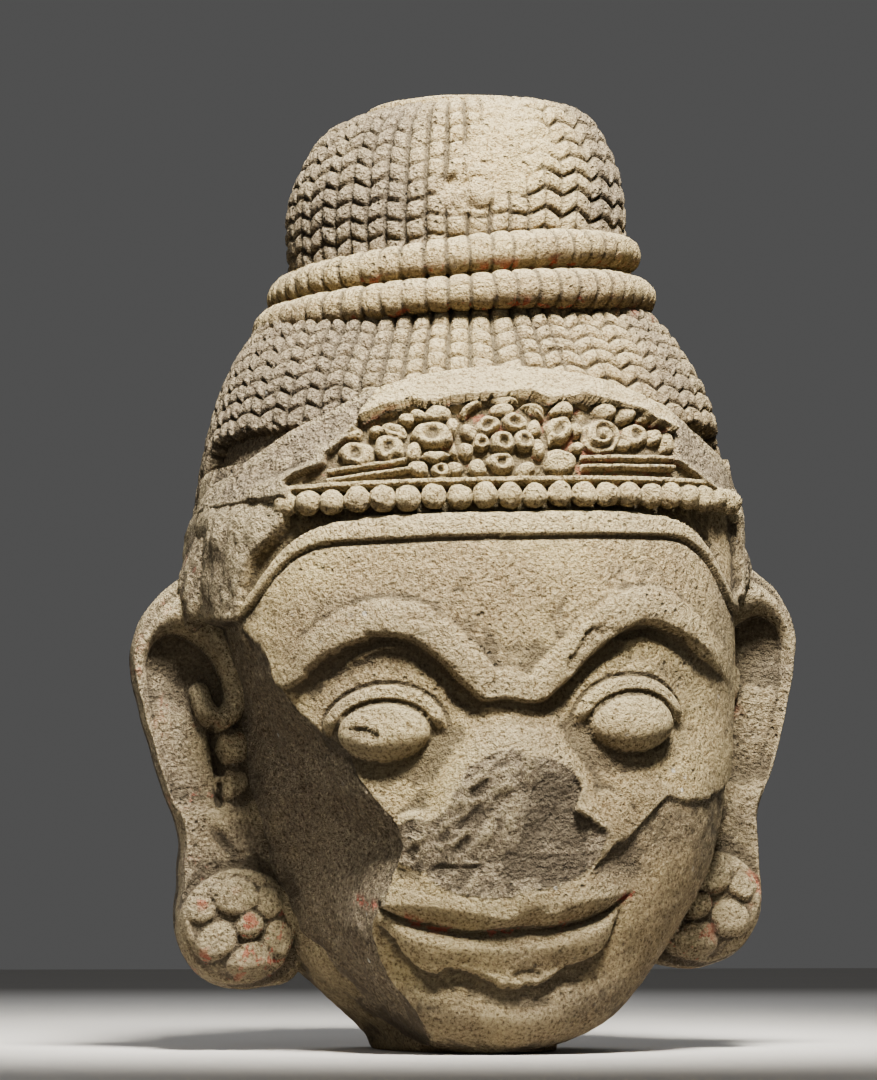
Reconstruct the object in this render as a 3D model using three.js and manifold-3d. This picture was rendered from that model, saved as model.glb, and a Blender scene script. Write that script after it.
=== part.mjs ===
// A guardian's head carved in one block of sandstone: braided hair drawn up into a round topknot over
// two cords, a broken floral diadem over a row of beads, bulging eyes under heavy brows, a broken nose,
// a wide closed mouth, and long ears with flower earrings. Millimetres, +Z up, the face looks along -Y.
import * as THREE from "three";
import { mergeVertices } from "three/addons/utils/BufferGeometryUtils.js";
import Module from "manifold-3d";

const wasm = await Module();
wasm.setup();

// The driving size. The free form is drawn in shares of it, so that the whole head follows it.
const HEAD_HEIGHT = 650;
const SHARES = 650;
const drawn = (shares) => (shares * HEAD_HEIGHT) / SHARES;

const LEAN = 0.035; // how far the whole carving rises to the head's left, per length across
const CORD_LEAN = [0.05, 0.085]; // how much more each cord does so

const BRAIDS_ON_CROWN = 66;
const BRAIDS_ON_TOPKNOT = 48;
const BRAID_DEPTH = drawn(4);
const CROWN_ROWS = [0, 0.38, 0.72, 1]; // where the facets break, from the hairline to the top
const TOPKNOT_ROWS = [0, 0.45, 0.8, 1];
const BURIED = 1.7; // how deep a ridge's foot lies in the stone, per height
const SUNK = drawn(14); // how far the block lies below the hair that covers it

const CROWN_TOP = drawn(500);
const TOPKNOT_STARTS = drawn(534);
const CORD_RADIUS = drawn(12);
const CORD_HEIGHTS = [drawn(503), drawn(530)];
const CORD_REACH = [drawn(127), drawn(117)];
const TOPKNOT_AXIS = drawn(24);

const FILLET_DROP = drawn(36);
const BAND_BOTTOM = drawn(368);
const BAND_TOP = drawn(436);
const BAND_STANDS_PROUD = drawn(12);
const BAND_WORN = drawn(3);
const BAND_ENDS = 1.62; // how far round the head the diadem reaches to either side, in radians
const FLOWER_DEPTH = drawn(8);
const BEAD_RADIUS = drawn(8.6);
const BEAD_HEIGHT = drawn(356);
const BEADS_FROM = drawn(-143);
const BEADS_TO = drawn(172);

const EYE_SPACING = drawn(86);
const EYE_HEIGHT = drawn(211);
const EYE_HALF_WIDTH = drawn(30);
const EYE_HALF_HEIGHT = drawn(21);
const EYE_BULGE = drawn(19);

const MOUTH_HALF_WIDTH = drawn(84);
const MOUTH_CORNER = drawn(97);
const MOUTH_MIDDLE = drawn(78);

const EARRING_HALF_WIDTH = drawn(43);
const EARRING_PETALS = 6;
const EARRING_DEPTH = drawn(18);

// The levels of the head, the neck and the topknot: at a height, half the width, where the front, the
// widest place and the back lie, and how square the outline is.
const level = (z, half, front, mid, back, square = 2.2) => ({
  z: drawn(z),
  half: drawn(half),
  front: drawn(front),
  mid: drawn(mid),
  back: drawn(back),
  square,
});

const HEAD_LEVELS = [
  level(2, 26, -143, -118, -92, 2),
  level(8, 52, -152, -105, -60, 2),
  level(18, 78, -159, -85, -25, 2.1),
  level(36, 100, -164, -72, 25),
  level(56, 117, -162, -60, 60, 2.3),
  level(80, 136, -165, -48, 90, 2.3),
  level(110, 155, -168, -38, 118, 2.3),
  level(146, 169, -169, -28, 140, 2.4),
  level(180, 176, -165, -20, 156, 2.4),
  level(215, 179, -160, -15, 166, 2.4),
  level(250, 181, -165, -10, 173, 2.4),
  level(290, 181, -166, -8, 177, 2.4),
  level(330, 182, -161, -6, 179, 2.3),
  level(370, 180, -150, -4, 177, 2.3),
  level(410, 174, -138, 0, 170),
  level(445, 164, -124, 5, 160),
  level(475, 150, -106, 12, 147, 2.1),
  level(505, 128, -84, 20, 128, 2),
];

const NECK_LEVELS = [
  level(-12, 56, -111, -6, 94),
  level(10, 62, -114, -3, 100),
  level(18, 68, -116, 0, 104),
  level(32, 82, -118, 5, 112),
  level(50, 104, -110, 10, 122),
  level(72, 122, -100, 12, 130),
  level(110, 138, -60, 14, 140),
];

const TOPKNOT_LEVELS = [
  level(495, 106, -82, 24, 130, 2),
  level(545, 114, -90, 24, 138, 2),
  level(571, 115, -91, 24, 139, 2),
  level(592, 112, -88, 24, 136, 2),
  level(612, 104, -80, 24, 128, 2),
  level(628, 94, -70, 24, 118, 2),
  level(640, 80, -56, 24, 104, 2),
  level(646, 62, -38, 24, 86, 2),
];

// The break over the head's right cheek, as levels of the line where the break meets the ear and where it ends in front.
const BREAK_MEETS_EAR = drawn(-20);
const breakLevel = (z, inner, frontX, frontY) => ({
  z: drawn(z),
  inner: drawn(inner),
  frontX: drawn(frontX),
  frontY: drawn(frontY),
});
const CHEEK_BREAK = [
  breakLevel(16, -62, -34, -140),
  breakLevel(61, -104, -73, -155),
  breakLevel(98, -126, -89, -155),
  breakLevel(146, -139, -74, -160),
  breakLevel(191, -146, -110, -148),
  breakLevel(244, -154, -146, -125),
  breakLevel(280, -168, -172, -100),
  breakLevel(300, -200, -210, -80),
];

// A value of a table of levels at a height, on a smooth curve through them.
function along(levels, key, z) {
  const last = levels.length - 1;
  if (z <= levels[0].z) return levels[0][key];
  if (z >= levels[last].z) return levels[last][key];
  let i = 0;
  while (z > levels[i + 1].z) i++;
  const [a, b] = [levels[i], levels[i + 1]];
  const [before, after] = [levels[Math.max(i - 1, 0)], levels[Math.min(i + 2, last)]];
  const span = b.z - a.z;
  const slopeIn = ((b[key] - before[key]) / (b.z - before.z)) * span;
  const slopeOut = ((after[key] - a[key]) / (after.z - a.z)) * span;
  const t = (z - a.z) / span;
  return (
    (2 * t ** 3 - 3 * t ** 2 + 1) * a[key] +
    (t ** 3 - 2 * t ** 2 + t) * slopeIn +
    (3 * t ** 2 - 2 * t ** 3) * b[key] +
    (t ** 3 - t ** 2) * slopeOut
  );
}

function levelAt(levels, z) {
  const found = { z };
  for (const key of ["half", "front", "mid", "back", "square"]) found[key] = along(levels, key, z);
  return found;
}

// A point of a level's outline: angle 0 is the front and a quarter turn is the head's left, +X.
function outlinePoint(at, angle, proud = 0) {
  const [s, c] = [Math.sin(angle), Math.cos(angle)];
  const reach = c > 0 ? at.front - proud - at.mid : at.mid - at.back - proud;
  const x = (at.half + proud) * Math.sign(s) * Math.abs(s) ** (2 / at.square);
  return new THREE.Vector3(x, at.mid + reach * Math.sign(c) * Math.abs(c) ** (2 / at.square), at.z);
}

// The front surface of the head, and its outward normal, at a place across and a height.
function faceY(x, z) {
  const at = levelAt(HEAD_LEVELS, z);
  const share = Math.min(Math.abs(x) / at.half, 0.999);
  return at.mid + (at.front - at.mid) * (1 - share ** at.square) ** (1 / at.square) - relief(x, z);
}

function facePoint(x, z, lift = 0) {
  const step = drawn(1);
  const normal = new THREE.Vector3(
    (faceY(x + step, z) - faceY(x - step, z)) / (2 * step),
    -1,
    (faceY(x, z + step) - faceY(x, z - step)) / (2 * step),
  ).normalize();
  return { point: new THREE.Vector3(x, faceY(x, z), z).addScaledVector(normal, lift), normal };
}

// Pulls a point of the head in to the surface of the broken left cheek.
function brokenCheek(p) {
  if (p.x > 0 || p.z >= CHEEK_BREAK[CHEEK_BREAK.length - 1].z) return p;
  const [inner, frontX, frontY] = ["inner", "frontX", "frontY"].map((key) => along(CHEEK_BREAK, key, p.z));
  const share = Math.min((p.y - BREAK_MEETS_EAR) / (frontY - BREAK_MEETS_EAR), 1.6);
  const limit = share > 0 ? inner + (frontX - inner) * share : inner + drawn(0.9) * share * 60;
  if (p.x < limit) p.x = limit;
  return p;
}

// A closed surface through rings of points, with both ends closed by a fan.
function loft(rings) {
  const count = rings[0].length;
  const points = rings.flat();
  const faces = [];
  for (let r = 0; r + 1 < rings.length; r++)
    for (let i = 0; i < count; i++) {
      const [a, b] = [r * count + i, r * count + ((i + 1) % count)];
      faces.push(a, b, b + count, a, b + count, a + count);
    }
  for (const [ring, flip] of [[0, true], [rings.length - 1, false]]) {
    const middle = rings[ring].reduce((sum, p) => sum.add(p), new THREE.Vector3()).divideScalar(count);
    points.push(middle);
    for (let i = 0; i < count; i++) {
      const [a, b] = [ring * count + i, ring * count + ((i + 1) % count)];
      faces.push(...(flip ? [b, a, points.length - 1] : [a, b, points.length - 1]));
    }
  }
  const geometry = new THREE.BufferGeometry();
  geometry.setAttribute("position", new THREE.Float32BufferAttribute(points.flatMap((p) => [p.x, p.y, p.z]), 3));
  geometry.setIndex(faces);
  return geometry;
}

// The whole carving leans a little: it rises towards the head's left.
function lean(geometry) {
  const points = geometry.attributes.position;
  for (let i = 0; i < points.count; i++) points.setZ(i, points.getZ(i) + LEAN * points.getX(i));
  return geometry;
}

const carved = (geometry) => solidOf(lean(geometry));

// A closed geometry as a solid, with its faces pointing out.
function solidOf(geometry) {
  const bare = geometry.clone();
  for (const name of ["normal", "uv"]) bare.deleteAttribute(name);
  const merged = mergeVertices(bare, drawn(0.001));
  const build = (triVerts) =>
    new wasm.Manifold(
      new wasm.Mesh({ numProp: 3, vertProperties: merged.attributes.position.array, triVerts }),
    );
  const faces = new Uint32Array(merged.index.array);
  const made = build(faces);
  return made.volume() > 0 ? made : build(faces.reverse());
}

const join = (solids) => solids.reduce((all, one) => all.add(one));

// Angles round an outline, closer together towards the front when bunch is over 0.
const angles = (count, bunch = 0) =>
  Array.from({ length: count }, (_, i) => {
    const t = (2 * Math.PI * i) / count;
    return t - bunch * Math.sin(t);
  });

// A low ridge that follows a path over the surface: half an ellipse above it, and a deeper half buried.
function ridge(path, halfWidth, height, sides) {
  const rings = path.map(({ point, normal }, i) => {
    const before = path[Math.max(i - 1, 0)].point;
    const after = path[Math.min(i + 1, path.length - 1)].point;
    const side = after.clone().sub(before).cross(normal).normalize();
    const taper = Math.sin(Math.PI * Math.min(1, Math.max(0.12, (i + 0.4) / (path.length - 0.2)))) ** 0.45;
    return angles(sides).map((t) =>
      point
        .clone()
        .addScaledVector(side, Math.cos(t) * halfWidth * taper)
        .addScaledVector(normal, Math.sin(t) * height * (Math.sin(t) < 0 ? BURIED : taper)),
    );
  });
  return carved(loft(rings));
}

const facePath = (count, place) =>
  Array.from({ length: count }, (_, i) => {
    const [x, z] = place(i / (count - 1));
    return facePoint(x, z);
  });

// A lump with its middle at a place, as wide, deep and tall as given.
function lump(place, wide, deep, tall, across, up) {
  const geometry = new THREE.SphereGeometry(1, across, up).rotateX(Math.PI / 2);
  return carved(geometry.scale(wide, deep, tall).translate(place.x, place.y, place.z));
}

// Soft mounds and hollows of the face: where each is, how far it spreads, how far it stands out.
const FACE_FORMS = [
  { x: -84, z: 218, wide: 44, tall: 27, out: -13 },
  { x: 84, z: 218, wide: 44, tall: 27, out: -13 },
  { x: 0, z: 92, wide: 74, tall: 34, out: 9 },
  { x: 0, z: 60, wide: 50, tall: 13, out: -6 },
  { x: 0, z: 36, wide: 46, tall: 17, out: 7 },
  { x: 0, z: 262, wide: 34, tall: 26, out: 4 },
  { x: 112, z: 140, wide: 34, tall: 26, out: -7 },
  { x: -50, z: 128, wide: 16, tall: 30, out: -4 },
  { x: 56, z: 128, wide: 14, tall: 30, out: -4 },
];

const relief = (x, z) =>
  FACE_FORMS.reduce((sum, form) => {
    const [across, up] = [(x - drawn(form.x)) / drawn(form.wide), (z - drawn(form.z)) / drawn(form.tall)];
    return sum + drawn(form.out) * Math.exp(-across * across - up * up);
  }, 0);

// The plain fillet under the beads stands a little proud of the brow and turns down at the temples.
function filletEdge(angle) {
  return FILLET_DROP * Math.abs(Math.sin(angle)) ** 3.2;
}

function skull() {
  const columns = angles(36, 0.4);
  const heights = [3, 10, 26, 50, 76, 100, 124, 148, 172, 196, 222, 248].map((z) => ({ z, turned: 0, proud: 0 }));
  heights.push({ z: 280, turned: 0.5, proud: 0 });
  heights.push({ z: 325, turned: 1, proud: 0 });
  heights.push({ z: 330, turned: 1, proud: 5 });
  heights.push({ z: 352, turned: 0.5, proud: 4 });
  heights.push({ z: 378, turned: 0, proud: 0 });
  heights.push({ z: 450, turned: 0, proud: 0 });
  return carved(
    loft(
      heights.map(({ z, turned, proud }) =>
        columns.map((angle) => {
          const height = drawn(z) - turned * filletEdge(angle);
          const covered = height > hairline(angle);
          const point = outlinePoint(levelAt(HEAD_LEVELS, height), angle, covered ? -SUNK : drawn(proud));
          if (point.y < 0) point.y -= relief(point.x, point.z);
          return brokenCheek(point);
        }),
      ),
    ),
  );
}

function neck() {
  return carved(loft(NECK_LEVELS.map((at) => angles(20).map((angle) => outlinePoint(at, angle)))));
}

// Braids side by side, each a ridge between two grooves, from a lower edge up to a height.
function braids(levels, count, rows, low, high) {
  const columns = angles(2 * count);
  return carved(
    loft(
      rows.map((share) =>
        columns.map((angle, i) => {
          const z = low(angle) + (high - low(angle)) * share;
          const lift = share === 0 ? -BRAID_DEPTH : i % 2 ? BRAID_DEPTH : 0;
          return outlinePoint(levelAt(levels, z), angle, lift);
        }),
      ),
    ),
  );
}

// The hair ends at the nape behind, above the ears at the sides and under the diadem in front.
function hairline(angle) {
  const toFront = (1 + Math.cos(angle)) / 2;
  return drawn(130) + drawn(285) * Math.min(1, toFront * 1.75) ** 0.8;
}

const crown = () => braids(HEAD_LEVELS, BRAIDS_ON_CROWN, CROWN_ROWS, hairline, CROWN_TOP);

const topknot = () => {
  const top = TOPKNOT_LEVELS.at(-1).z;
  return braids(TOPKNOT_LEVELS, BRAIDS_ON_TOPKNOT, TOPKNOT_ROWS, () => TOPKNOT_STARTS, top);
};

// Two thick cords round the foot of the topknot, one over the other on a round core.
function cords() {
  const profile = [[CROWN_TOP - CORD_RADIUS, -0.5 * CORD_RADIUS]];
  CORD_HEIGHTS.forEach((height, i) => {
    for (const turn of [-0.36, 0, 0.36])
      profile.push([height + Math.sin(turn * Math.PI) * CORD_RADIUS, Math.cos(turn * Math.PI) * CORD_RADIUS, i]);
  });
  return carved(
    loft(
      profile.map(([z, proud, i = 0]) =>
        angles(30).map((angle) => {
          const reach = CORD_REACH[i] + proud;
          const x = Math.sin(angle) * reach;
          return new THREE.Vector3(x, TOPKNOT_AXIS - Math.cos(angle) * reach, z + CORD_LEAN[i] * x);
        }),
      ),
    ),
  );
}

// The diadem's band: proud and square-edged where its flowers are, broken down at both sides.
function band() {
  const steps = 26;
  const rings = [];
  for (let i = 0; i <= steps; i++) {
    const angle = BAND_ENDS * ((2 * i) / steps - 1);
    const proud = angle > -0.84 && angle < 0.84 ? BAND_STANDS_PROUD : BAND_WORN;
    const corner = (z, lift) => outlinePoint(levelAt(HEAD_LEVELS, z), angle, lift);
    rings.push([
      corner(BAND_BOTTOM, -SUNK),
      corner(BAND_BOTTOM, proud),
      corner(BAND_TOP - drawn(6), proud),
      corner(BAND_TOP, proud * 0.5),
      corner(BAND_TOP, -SUNK),
    ]);
  }
  return carved(loft(rings));
}

// A string of beads along the diadem's lower edge, from one broken end to the other.
function beads() {
  const at = levelAt(HEAD_LEVELS, BEAD_HEIGHT);
  const rings = [];
  let last = null;
  for (let angle = -1.5; angle < 1.5; angle += 0.002) {
    const p = outlinePoint(at, angle, BEAD_RADIUS * 0.35);
    if (p.x < BEADS_FROM || p.x > BEADS_TO || (last && p.distanceTo(last) < 0.97 * BEAD_RADIUS)) continue;
    const out = p.clone().sub(outlinePoint(at, angle)).normalize();
    const radius = BEAD_RADIUS * (rings.length % 2 ? 1.08 : 0.6);
    rings.push(
      angles(4).map((t) =>
        p.clone().addScaledVector(out, Math.cos(t) * radius).setZ(BEAD_HEIGHT + Math.sin(t) * radius),
      ),
    );
    last = p;
  }
  return carved(loft(rings));
}

// A flower: petals round a boss. The place turns a point across, up and out into one of the head.
function flower(reach, height, petals, place) {
  const rings = [
    { share: 0.9, out: -1, between: 1 },
    { share: 1, out: 0.35, between: 0.86 },
    { share: 0.74, out: 1, between: 0.95 },
    { share: 0.4, out: 0.35, between: 1 },
    { share: 0.3, out: 1.15, between: 1 },
  ];
  return carved(
    loft(
      rings.map(({ share, out, between }) =>
        angles(2 * petals).map((angle, i) => {
          const radius = reach * share * (i % 2 ? between : 1);
          const rise = height * out * (i % 2 && share > 0.5 && out > 0 ? 0.3 : 1);
          return place(Math.sin(angle) * radius, Math.cos(angle) * radius, rise);
        }),
      ),
    ),
  );
}

function flowers() {
  const rows = [
    { x: 0, z: 400, reach: 34, petals: 8 },
    { x: -54, z: 404, reach: 25, petals: 5 },
    { x: 56, z: 404, reach: 25, petals: 5 },
    { x: -98, z: 404, reach: 21, petals: 4 },
    { x: 99, z: 404, reach: 21, petals: 4 },
  ];
  return rows.map(({ x, z, reach, petals }) =>
    flower(drawn(reach), FLOWER_DEPTH, petals, (across, up, out) =>
      facePoint(drawn(x) + across, drawn(z) + up, BAND_STANDS_PROUD + out).point,
    ),
  );
}

function brow(side) {
  const path = facePath(9, (t) => {
    const x = drawn(16 + 142 * t);
    const arch = Math.sin(Math.PI * Math.min(1, t * 0.98) ** 0.78);
    return [side * x, drawn(236) + drawn(50) * arch + drawn(16) * t];
  });
  return ridge(path, drawn(13), drawn(13), 6);
}

function eye(side) {
  const { point } = facePoint(side * EYE_SPACING, EYE_HEIGHT, -EYE_BULGE * 0.1);
  const lid = (reach, height) =>
    ridge(
      facePath(7, (t) => {
        const turn = Math.PI * (1.04 - 1.08 * t);
        return [
          side * EYE_SPACING + Math.cos(turn) * (EYE_HALF_WIDTH + reach),
          EYE_HEIGHT + Math.sin(turn) * (EYE_HALF_HEIGHT + reach),
        ];
      }),
      drawn(4.2),
      height,
      4,
    );
  return [
    lump(point, EYE_HALF_WIDTH, EYE_BULGE, EYE_HALF_HEIGHT, 10, 6),
    lid(drawn(3), drawn(10)),
    lid(drawn(9.5), drawn(6)),
  ];
}

// What is left of the nose: a broad wedge, broken away at its tip along four planes.
function nose() {
  const sections = [
    { z: 116, half: 42, front: 170 },
    { z: 126, half: 59, front: 184 },
    { z: 144, half: 62, front: 193 },
    { z: 165, half: 50, front: 193 },
    { z: 185, half: 34, front: 187 },
    { z: 208, half: 23, front: 178 },
    { z: 228, half: 17, front: 171 },
    { z: 246, half: 14, front: 164 },
  ];
  const rings = sections.map(({ z, half, front }) =>
    angles(14).map((t) => {
      const [s, c] = [Math.sin(t), Math.cos(t)];
      const depth = Math.sign(c) * Math.abs(c) ** 0.75;
      return new THREE.Vector3(drawn(half) * s, drawn(-140) - drawn(front - 140) * depth, drawn(z));
    }),
  );
  const broken = [
    { at: [20, -187, 170], normal: [0.42, -0.8, -0.42] },
    { at: [-24, -188, 150], normal: [-0.22, -0.97, -0.05] },
    { at: [0, -184, 126], normal: [0, -0.75, -0.66] },
    { at: [48, -176, 140], normal: [0.5, -0.85, -0.15] },
  ];
  return broken.reduce(
    (left, { at, normal }) => left.subtract(halfSpace(at.map(drawn), normal)),
    carved(loft(rings)),
  );
}

// A block that fills the space beyond a plane.
function halfSpace(at, normal) {
  const size = drawn(400);
  const block = new THREE.BoxGeometry(size, size, size).translate(0, 0, size / 2);
  const turn = new THREE.Quaternion().setFromUnitVectors(
    new THREE.Vector3(0, 0, 1),
    new THREE.Vector3(...normal).normalize(),
  );
  return solidOf(block.applyQuaternion(turn).translate(...at));
}

const mouthLine = (x) =>
  MOUTH_MIDDLE + (MOUTH_CORNER - MOUTH_MIDDLE) * Math.abs(x / MOUTH_HALF_WIDTH) ** 2;

function lips() {
  const lip = (offset, reach, halfWidth, height) =>
    ridge(
      facePath(11, (t) => {
        const x = reach * MOUTH_HALF_WIDTH * (2 * t - 1);
        return [x, mouthLine(x) + offset * (1 - (x / MOUTH_HALF_WIDTH) ** 4 * 0.6)];
      }),
      halfWidth,
      height,
      6,
    );
  return [lip(drawn(12), 0.98, drawn(12), drawn(13)), lip(drawn(-16), 0.86, drawn(16), drawn(17))];
}

// An ear: a plate with a rolled rim that stands out from the side of the head.
const EAR_OUTLINE = [
  [150, 322], [176, 331], [198, 322], [218, 303], [229, 277], [227, 250], [218, 213], [209, 182],
  [198, 152], [199, 116], [200, 86], [189, 62], [170, 50], [142, 48], [118, 60], [116, 110], [136, 190], [140, 270],
];

// Where each ear differs: how much higher it sits, and how much farther out its lower part hangs.
const EARS = [
  { side: -1, rise: -2, out: -4 },
  { side: 1, rise: 1, out: 8 },
];

function ear({ side, rise, out }) {
  const hang = (z) => out * Math.min(1, Math.max(0, (320 - z) / 130));
  const outline = new THREE.CatmullRomCurve3(
    EAR_OUTLINE.map(([x, z]) => new THREE.Vector3(drawn(x + hang(z)), 0, drawn(z + rise))),
    true,
  ).getPoints(24).slice(0, -1);
  const middle = new THREE.Vector3(drawn(172), 0, drawn(185 + rise));
  const rows = [
    { share: 0.4, y: -8 },
    { share: 0.7, y: -14 },
    { share: 0.82, y: -33 },
    { share: 0.95, y: -33 },
    { share: 1, y: -18 },
    { share: 1, y: 12 },
    { share: 0.7, y: 32 },
  ];
  return carved(
    loft(
      rows.map(({ share, y }) =>
        outline.map((p) => {
          const place = middle.clone().lerp(p, share);
          return new THREE.Vector3(side * place.x, drawn(y), place.z);
        }),
      ),
    ),
  );
}

function earring({ side, rise, out }) {
  const middle = new THREE.Vector3(side * drawn(160 + out / 2), drawn(-34), drawn(89 + rise));
  return flower(EARRING_HALF_WIDTH, EARRING_DEPTH, EARRING_PETALS, (across, up, forward) =>
    new THREE.Vector3(middle.x + across, middle.y - forward, middle.z + up),
  );
}

// The small lobe in front of the ear's opening.
function tragus({ side, rise }) {
  const place = new THREE.Vector3(side * drawn(172), drawn(-20), drawn(238 + rise));
  return lump(place, drawn(14), drawn(26), drawn(17), 6, 4);
}

// The stub that is left of the hair above each ear.
function stub({ side }) {
  const place = new THREE.Vector3(side * drawn(177), drawn(-22), drawn(317));
  return lump(place, drawn(22), drawn(40), drawn(30), 8, 6);
}

function head() {
  const pieces = [
    skull(), neck(), crown(), topknot(), cords(), band(), beads(), ...flowers(), nose(), ...lips(),
  ];
  for (const one of EARS) {
    pieces.push(brow(one.side), ...eye(one.side));
    pieces.push(ear(one), tragus(one), stub(one), earring(one));
  }
  return join(pieces).subtract(halfSpace([0, 0, 0], [0, 0, -1]));
}

// The solid as a mesh that three.js can show.
function meshOf(solid, name, material) {
  const { numProp, vertProperties, triVerts } = solid.getMesh();
  const points = [];
  for (let i = 0; i < vertProperties.length; i += numProp) points.push(...vertProperties.slice(i, i + 3));
  const geometry = new THREE.BufferGeometry();
  geometry.setAttribute("position", new THREE.Float32BufferAttribute(points, 3));
  geometry.setIndex(new THREE.BufferAttribute(triVerts, 1));
  geometry.computeVertexNormals();
  const mesh = new THREE.Mesh(geometry, material);
  mesh.name = name;
  return mesh;
}

const sandstone = new THREE.MeshStandardMaterial({ color: 0x8f8468, roughness: 0.93, metalness: 0 });

const guardian = new THREE.Group();
guardian.add(meshOf(head(), "guardian_head", sandstone));

export default guardian;
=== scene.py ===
"""A temple guardian's head in weathered sandstone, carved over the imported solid.

Free forms are drawn in units of UNIT, which is a millimetre on a head 650 mm tall. Points become metres, and
get the lean of the carving, where a mesh is made. The face looks along -Y and the head's left is +X.
"""

import math

import bpy
import numpy as np
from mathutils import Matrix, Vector


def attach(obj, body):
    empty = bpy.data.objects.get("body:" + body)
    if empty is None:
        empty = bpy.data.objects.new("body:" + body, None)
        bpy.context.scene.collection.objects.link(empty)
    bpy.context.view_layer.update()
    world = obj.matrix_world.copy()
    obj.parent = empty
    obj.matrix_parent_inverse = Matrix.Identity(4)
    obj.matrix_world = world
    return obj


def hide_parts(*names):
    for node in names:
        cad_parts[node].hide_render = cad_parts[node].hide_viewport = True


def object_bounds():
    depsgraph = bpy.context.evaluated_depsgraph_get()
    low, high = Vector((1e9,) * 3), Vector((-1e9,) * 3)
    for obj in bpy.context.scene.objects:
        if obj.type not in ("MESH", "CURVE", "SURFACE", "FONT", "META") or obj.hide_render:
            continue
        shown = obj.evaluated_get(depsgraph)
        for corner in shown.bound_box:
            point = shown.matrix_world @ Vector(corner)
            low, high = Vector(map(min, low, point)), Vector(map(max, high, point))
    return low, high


bl_info = {
    "name": "Guardian Head",
    "version": (1, 0, 0),
    "blender": (4, 5, 0),
    "location": "3D View > Sidebar > Guardian",
    "description": "Carves a weathered sandstone guardian's head over its solid",
    "category": "Object",
}

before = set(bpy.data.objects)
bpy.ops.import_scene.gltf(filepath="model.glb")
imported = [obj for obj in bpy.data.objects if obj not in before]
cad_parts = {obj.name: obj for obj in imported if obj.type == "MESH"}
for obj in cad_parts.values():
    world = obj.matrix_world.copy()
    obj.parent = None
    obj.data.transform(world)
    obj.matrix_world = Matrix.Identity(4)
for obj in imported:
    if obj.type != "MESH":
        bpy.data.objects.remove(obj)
CAD_LOW, CAD_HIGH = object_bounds()

# The head as a whole
DRAWN_HEIGHT = 648.3
UNIT = (CAD_HIGH.z - CAD_LOW.z) / DRAWN_HEIGHT
LEAN = 0.035
NODE = "guardian_head"
BODY = "root"
STONE = "weathered sandstone"

# The photograph's frame, and where it was taken from
PICTURE = (877, 1080)
CAMERA_AZIMUTH = -11.0
CAMERA_DISTANCE = 3.0
CAMERA_HEIGHT = 0.08
PIXELS_PER_METRE = 1462.0
MIDLINE_PIXEL = 462.0
BASE_PIXEL = 1045.0

# Outlines by height: height, half width, front, widest place, back, squareness
HEAD_LEVELS = np.array(
    [
        (2, 26, -143, -118, -92, 2.0),
        (8, 52, -152, -105, -60, 2.0),
        (18, 78, -159, -85, -25, 2.1),
        (36, 100, -164, -72, 25, 2.2),
        (56, 117, -162, -60, 60, 2.3),
        (80, 136, -165, -48, 90, 2.3),
        (110, 155, -168, -38, 118, 2.3),
        (146, 169, -169, -28, 140, 2.4),
        (180, 176, -165, -20, 156, 2.4),
        (215, 179, -160, -15, 166, 2.4),
        (250, 181, -165, -10, 173, 2.4),
        (290, 181, -166, -8, 177, 2.4),
        (330, 182, -161, -6, 179, 2.3),
        (370, 180, -150, -4, 177, 2.3),
        (410, 174, -138, 0, 170, 2.2),
        (445, 164, -124, 5, 160, 2.2),
        (475, 150, -106, 12, 147, 2.1),
        (505, 128, -84, 20, 128, 2.0),
    ],
    float,
)
NECK_LEVELS = np.array(
    [
        (-12, 56, -111, -6, 94, 2.2),
        (10, 62, -114, -3, 100, 2.2),
        (18, 68, -116, 0, 104, 2.2),
        (32, 82, -118, 5, 112, 2.2),
        (50, 104, -110, 10, 122, 2.2),
        (72, 122, -100, 12, 130, 2.2),
        (110, 138, -60, 14, 134, 2.2),
        (150, 148, -40, 14, 136, 2.2),
    ],
    float,
)
TOPKNOT_LEVELS = np.array(
    [
        (495, 106, -82, 24, 130, 2.0),
        (545, 114, -90, 24, 138, 2.0),
        (571, 115, -91, 24, 139, 2.0),
        (592, 112, -88, 24, 136, 2.0),
        (610, 105, -81, 24, 129, 2.0),
        (625, 97, -73, 24, 121, 2.0),
        (636, 86, -62, 24, 110, 2.0),
        (642, 70, -46, 24, 94, 2.0),
    ],
    float,
)

# The edge of the break over the right cheek and temple: height, place across
BREAK_EDGE = np.array(
    [
        (2, -40),
        (15, -49),
        (39, -66),
        (59, -79),
        (82, -87),
        (100, -84),
        (114, -79),
        (133, -71),
        (145, -72),
        (158, -81),
        (172, -93),
        (192, -101),
        (204, -108),
        (212, -115),
        (221, -126),
        (239, -137),
        (249, -146),
        (258, -149),
        (273, -156),
        (285, -163),
        (300, -165),
        (321, -158),
        (336, -150),
        (358, -137),
        (392, -122),
        (430, -116),
    ],
    float,
)
# Where the break meets the ear: height, place across
BREAK_INNER = np.array(
    [
        (2, -40),
        (16, -62),
        (61, -104),
        (98, -126),
        (146, -139),
        (191, -146),
        (244, -155),
        (280, -166),
        (310, -172),
        (350, -173),
        (400, -168),
        (430, -164),
    ],
    float,
)
BREAK_MEETS_EAR = -20.0
# The edge of the break over the right temple, up the fillet's end to the beads: height, place across
TEMPLE_EDGE = np.array(
    [
        (280, -168), (291, -164.5), (301, -163), (311, -162), (326, -156), (335, -149),
        (343, -142), (356, -136), (380, -124),
    ],
    float,
)

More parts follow.
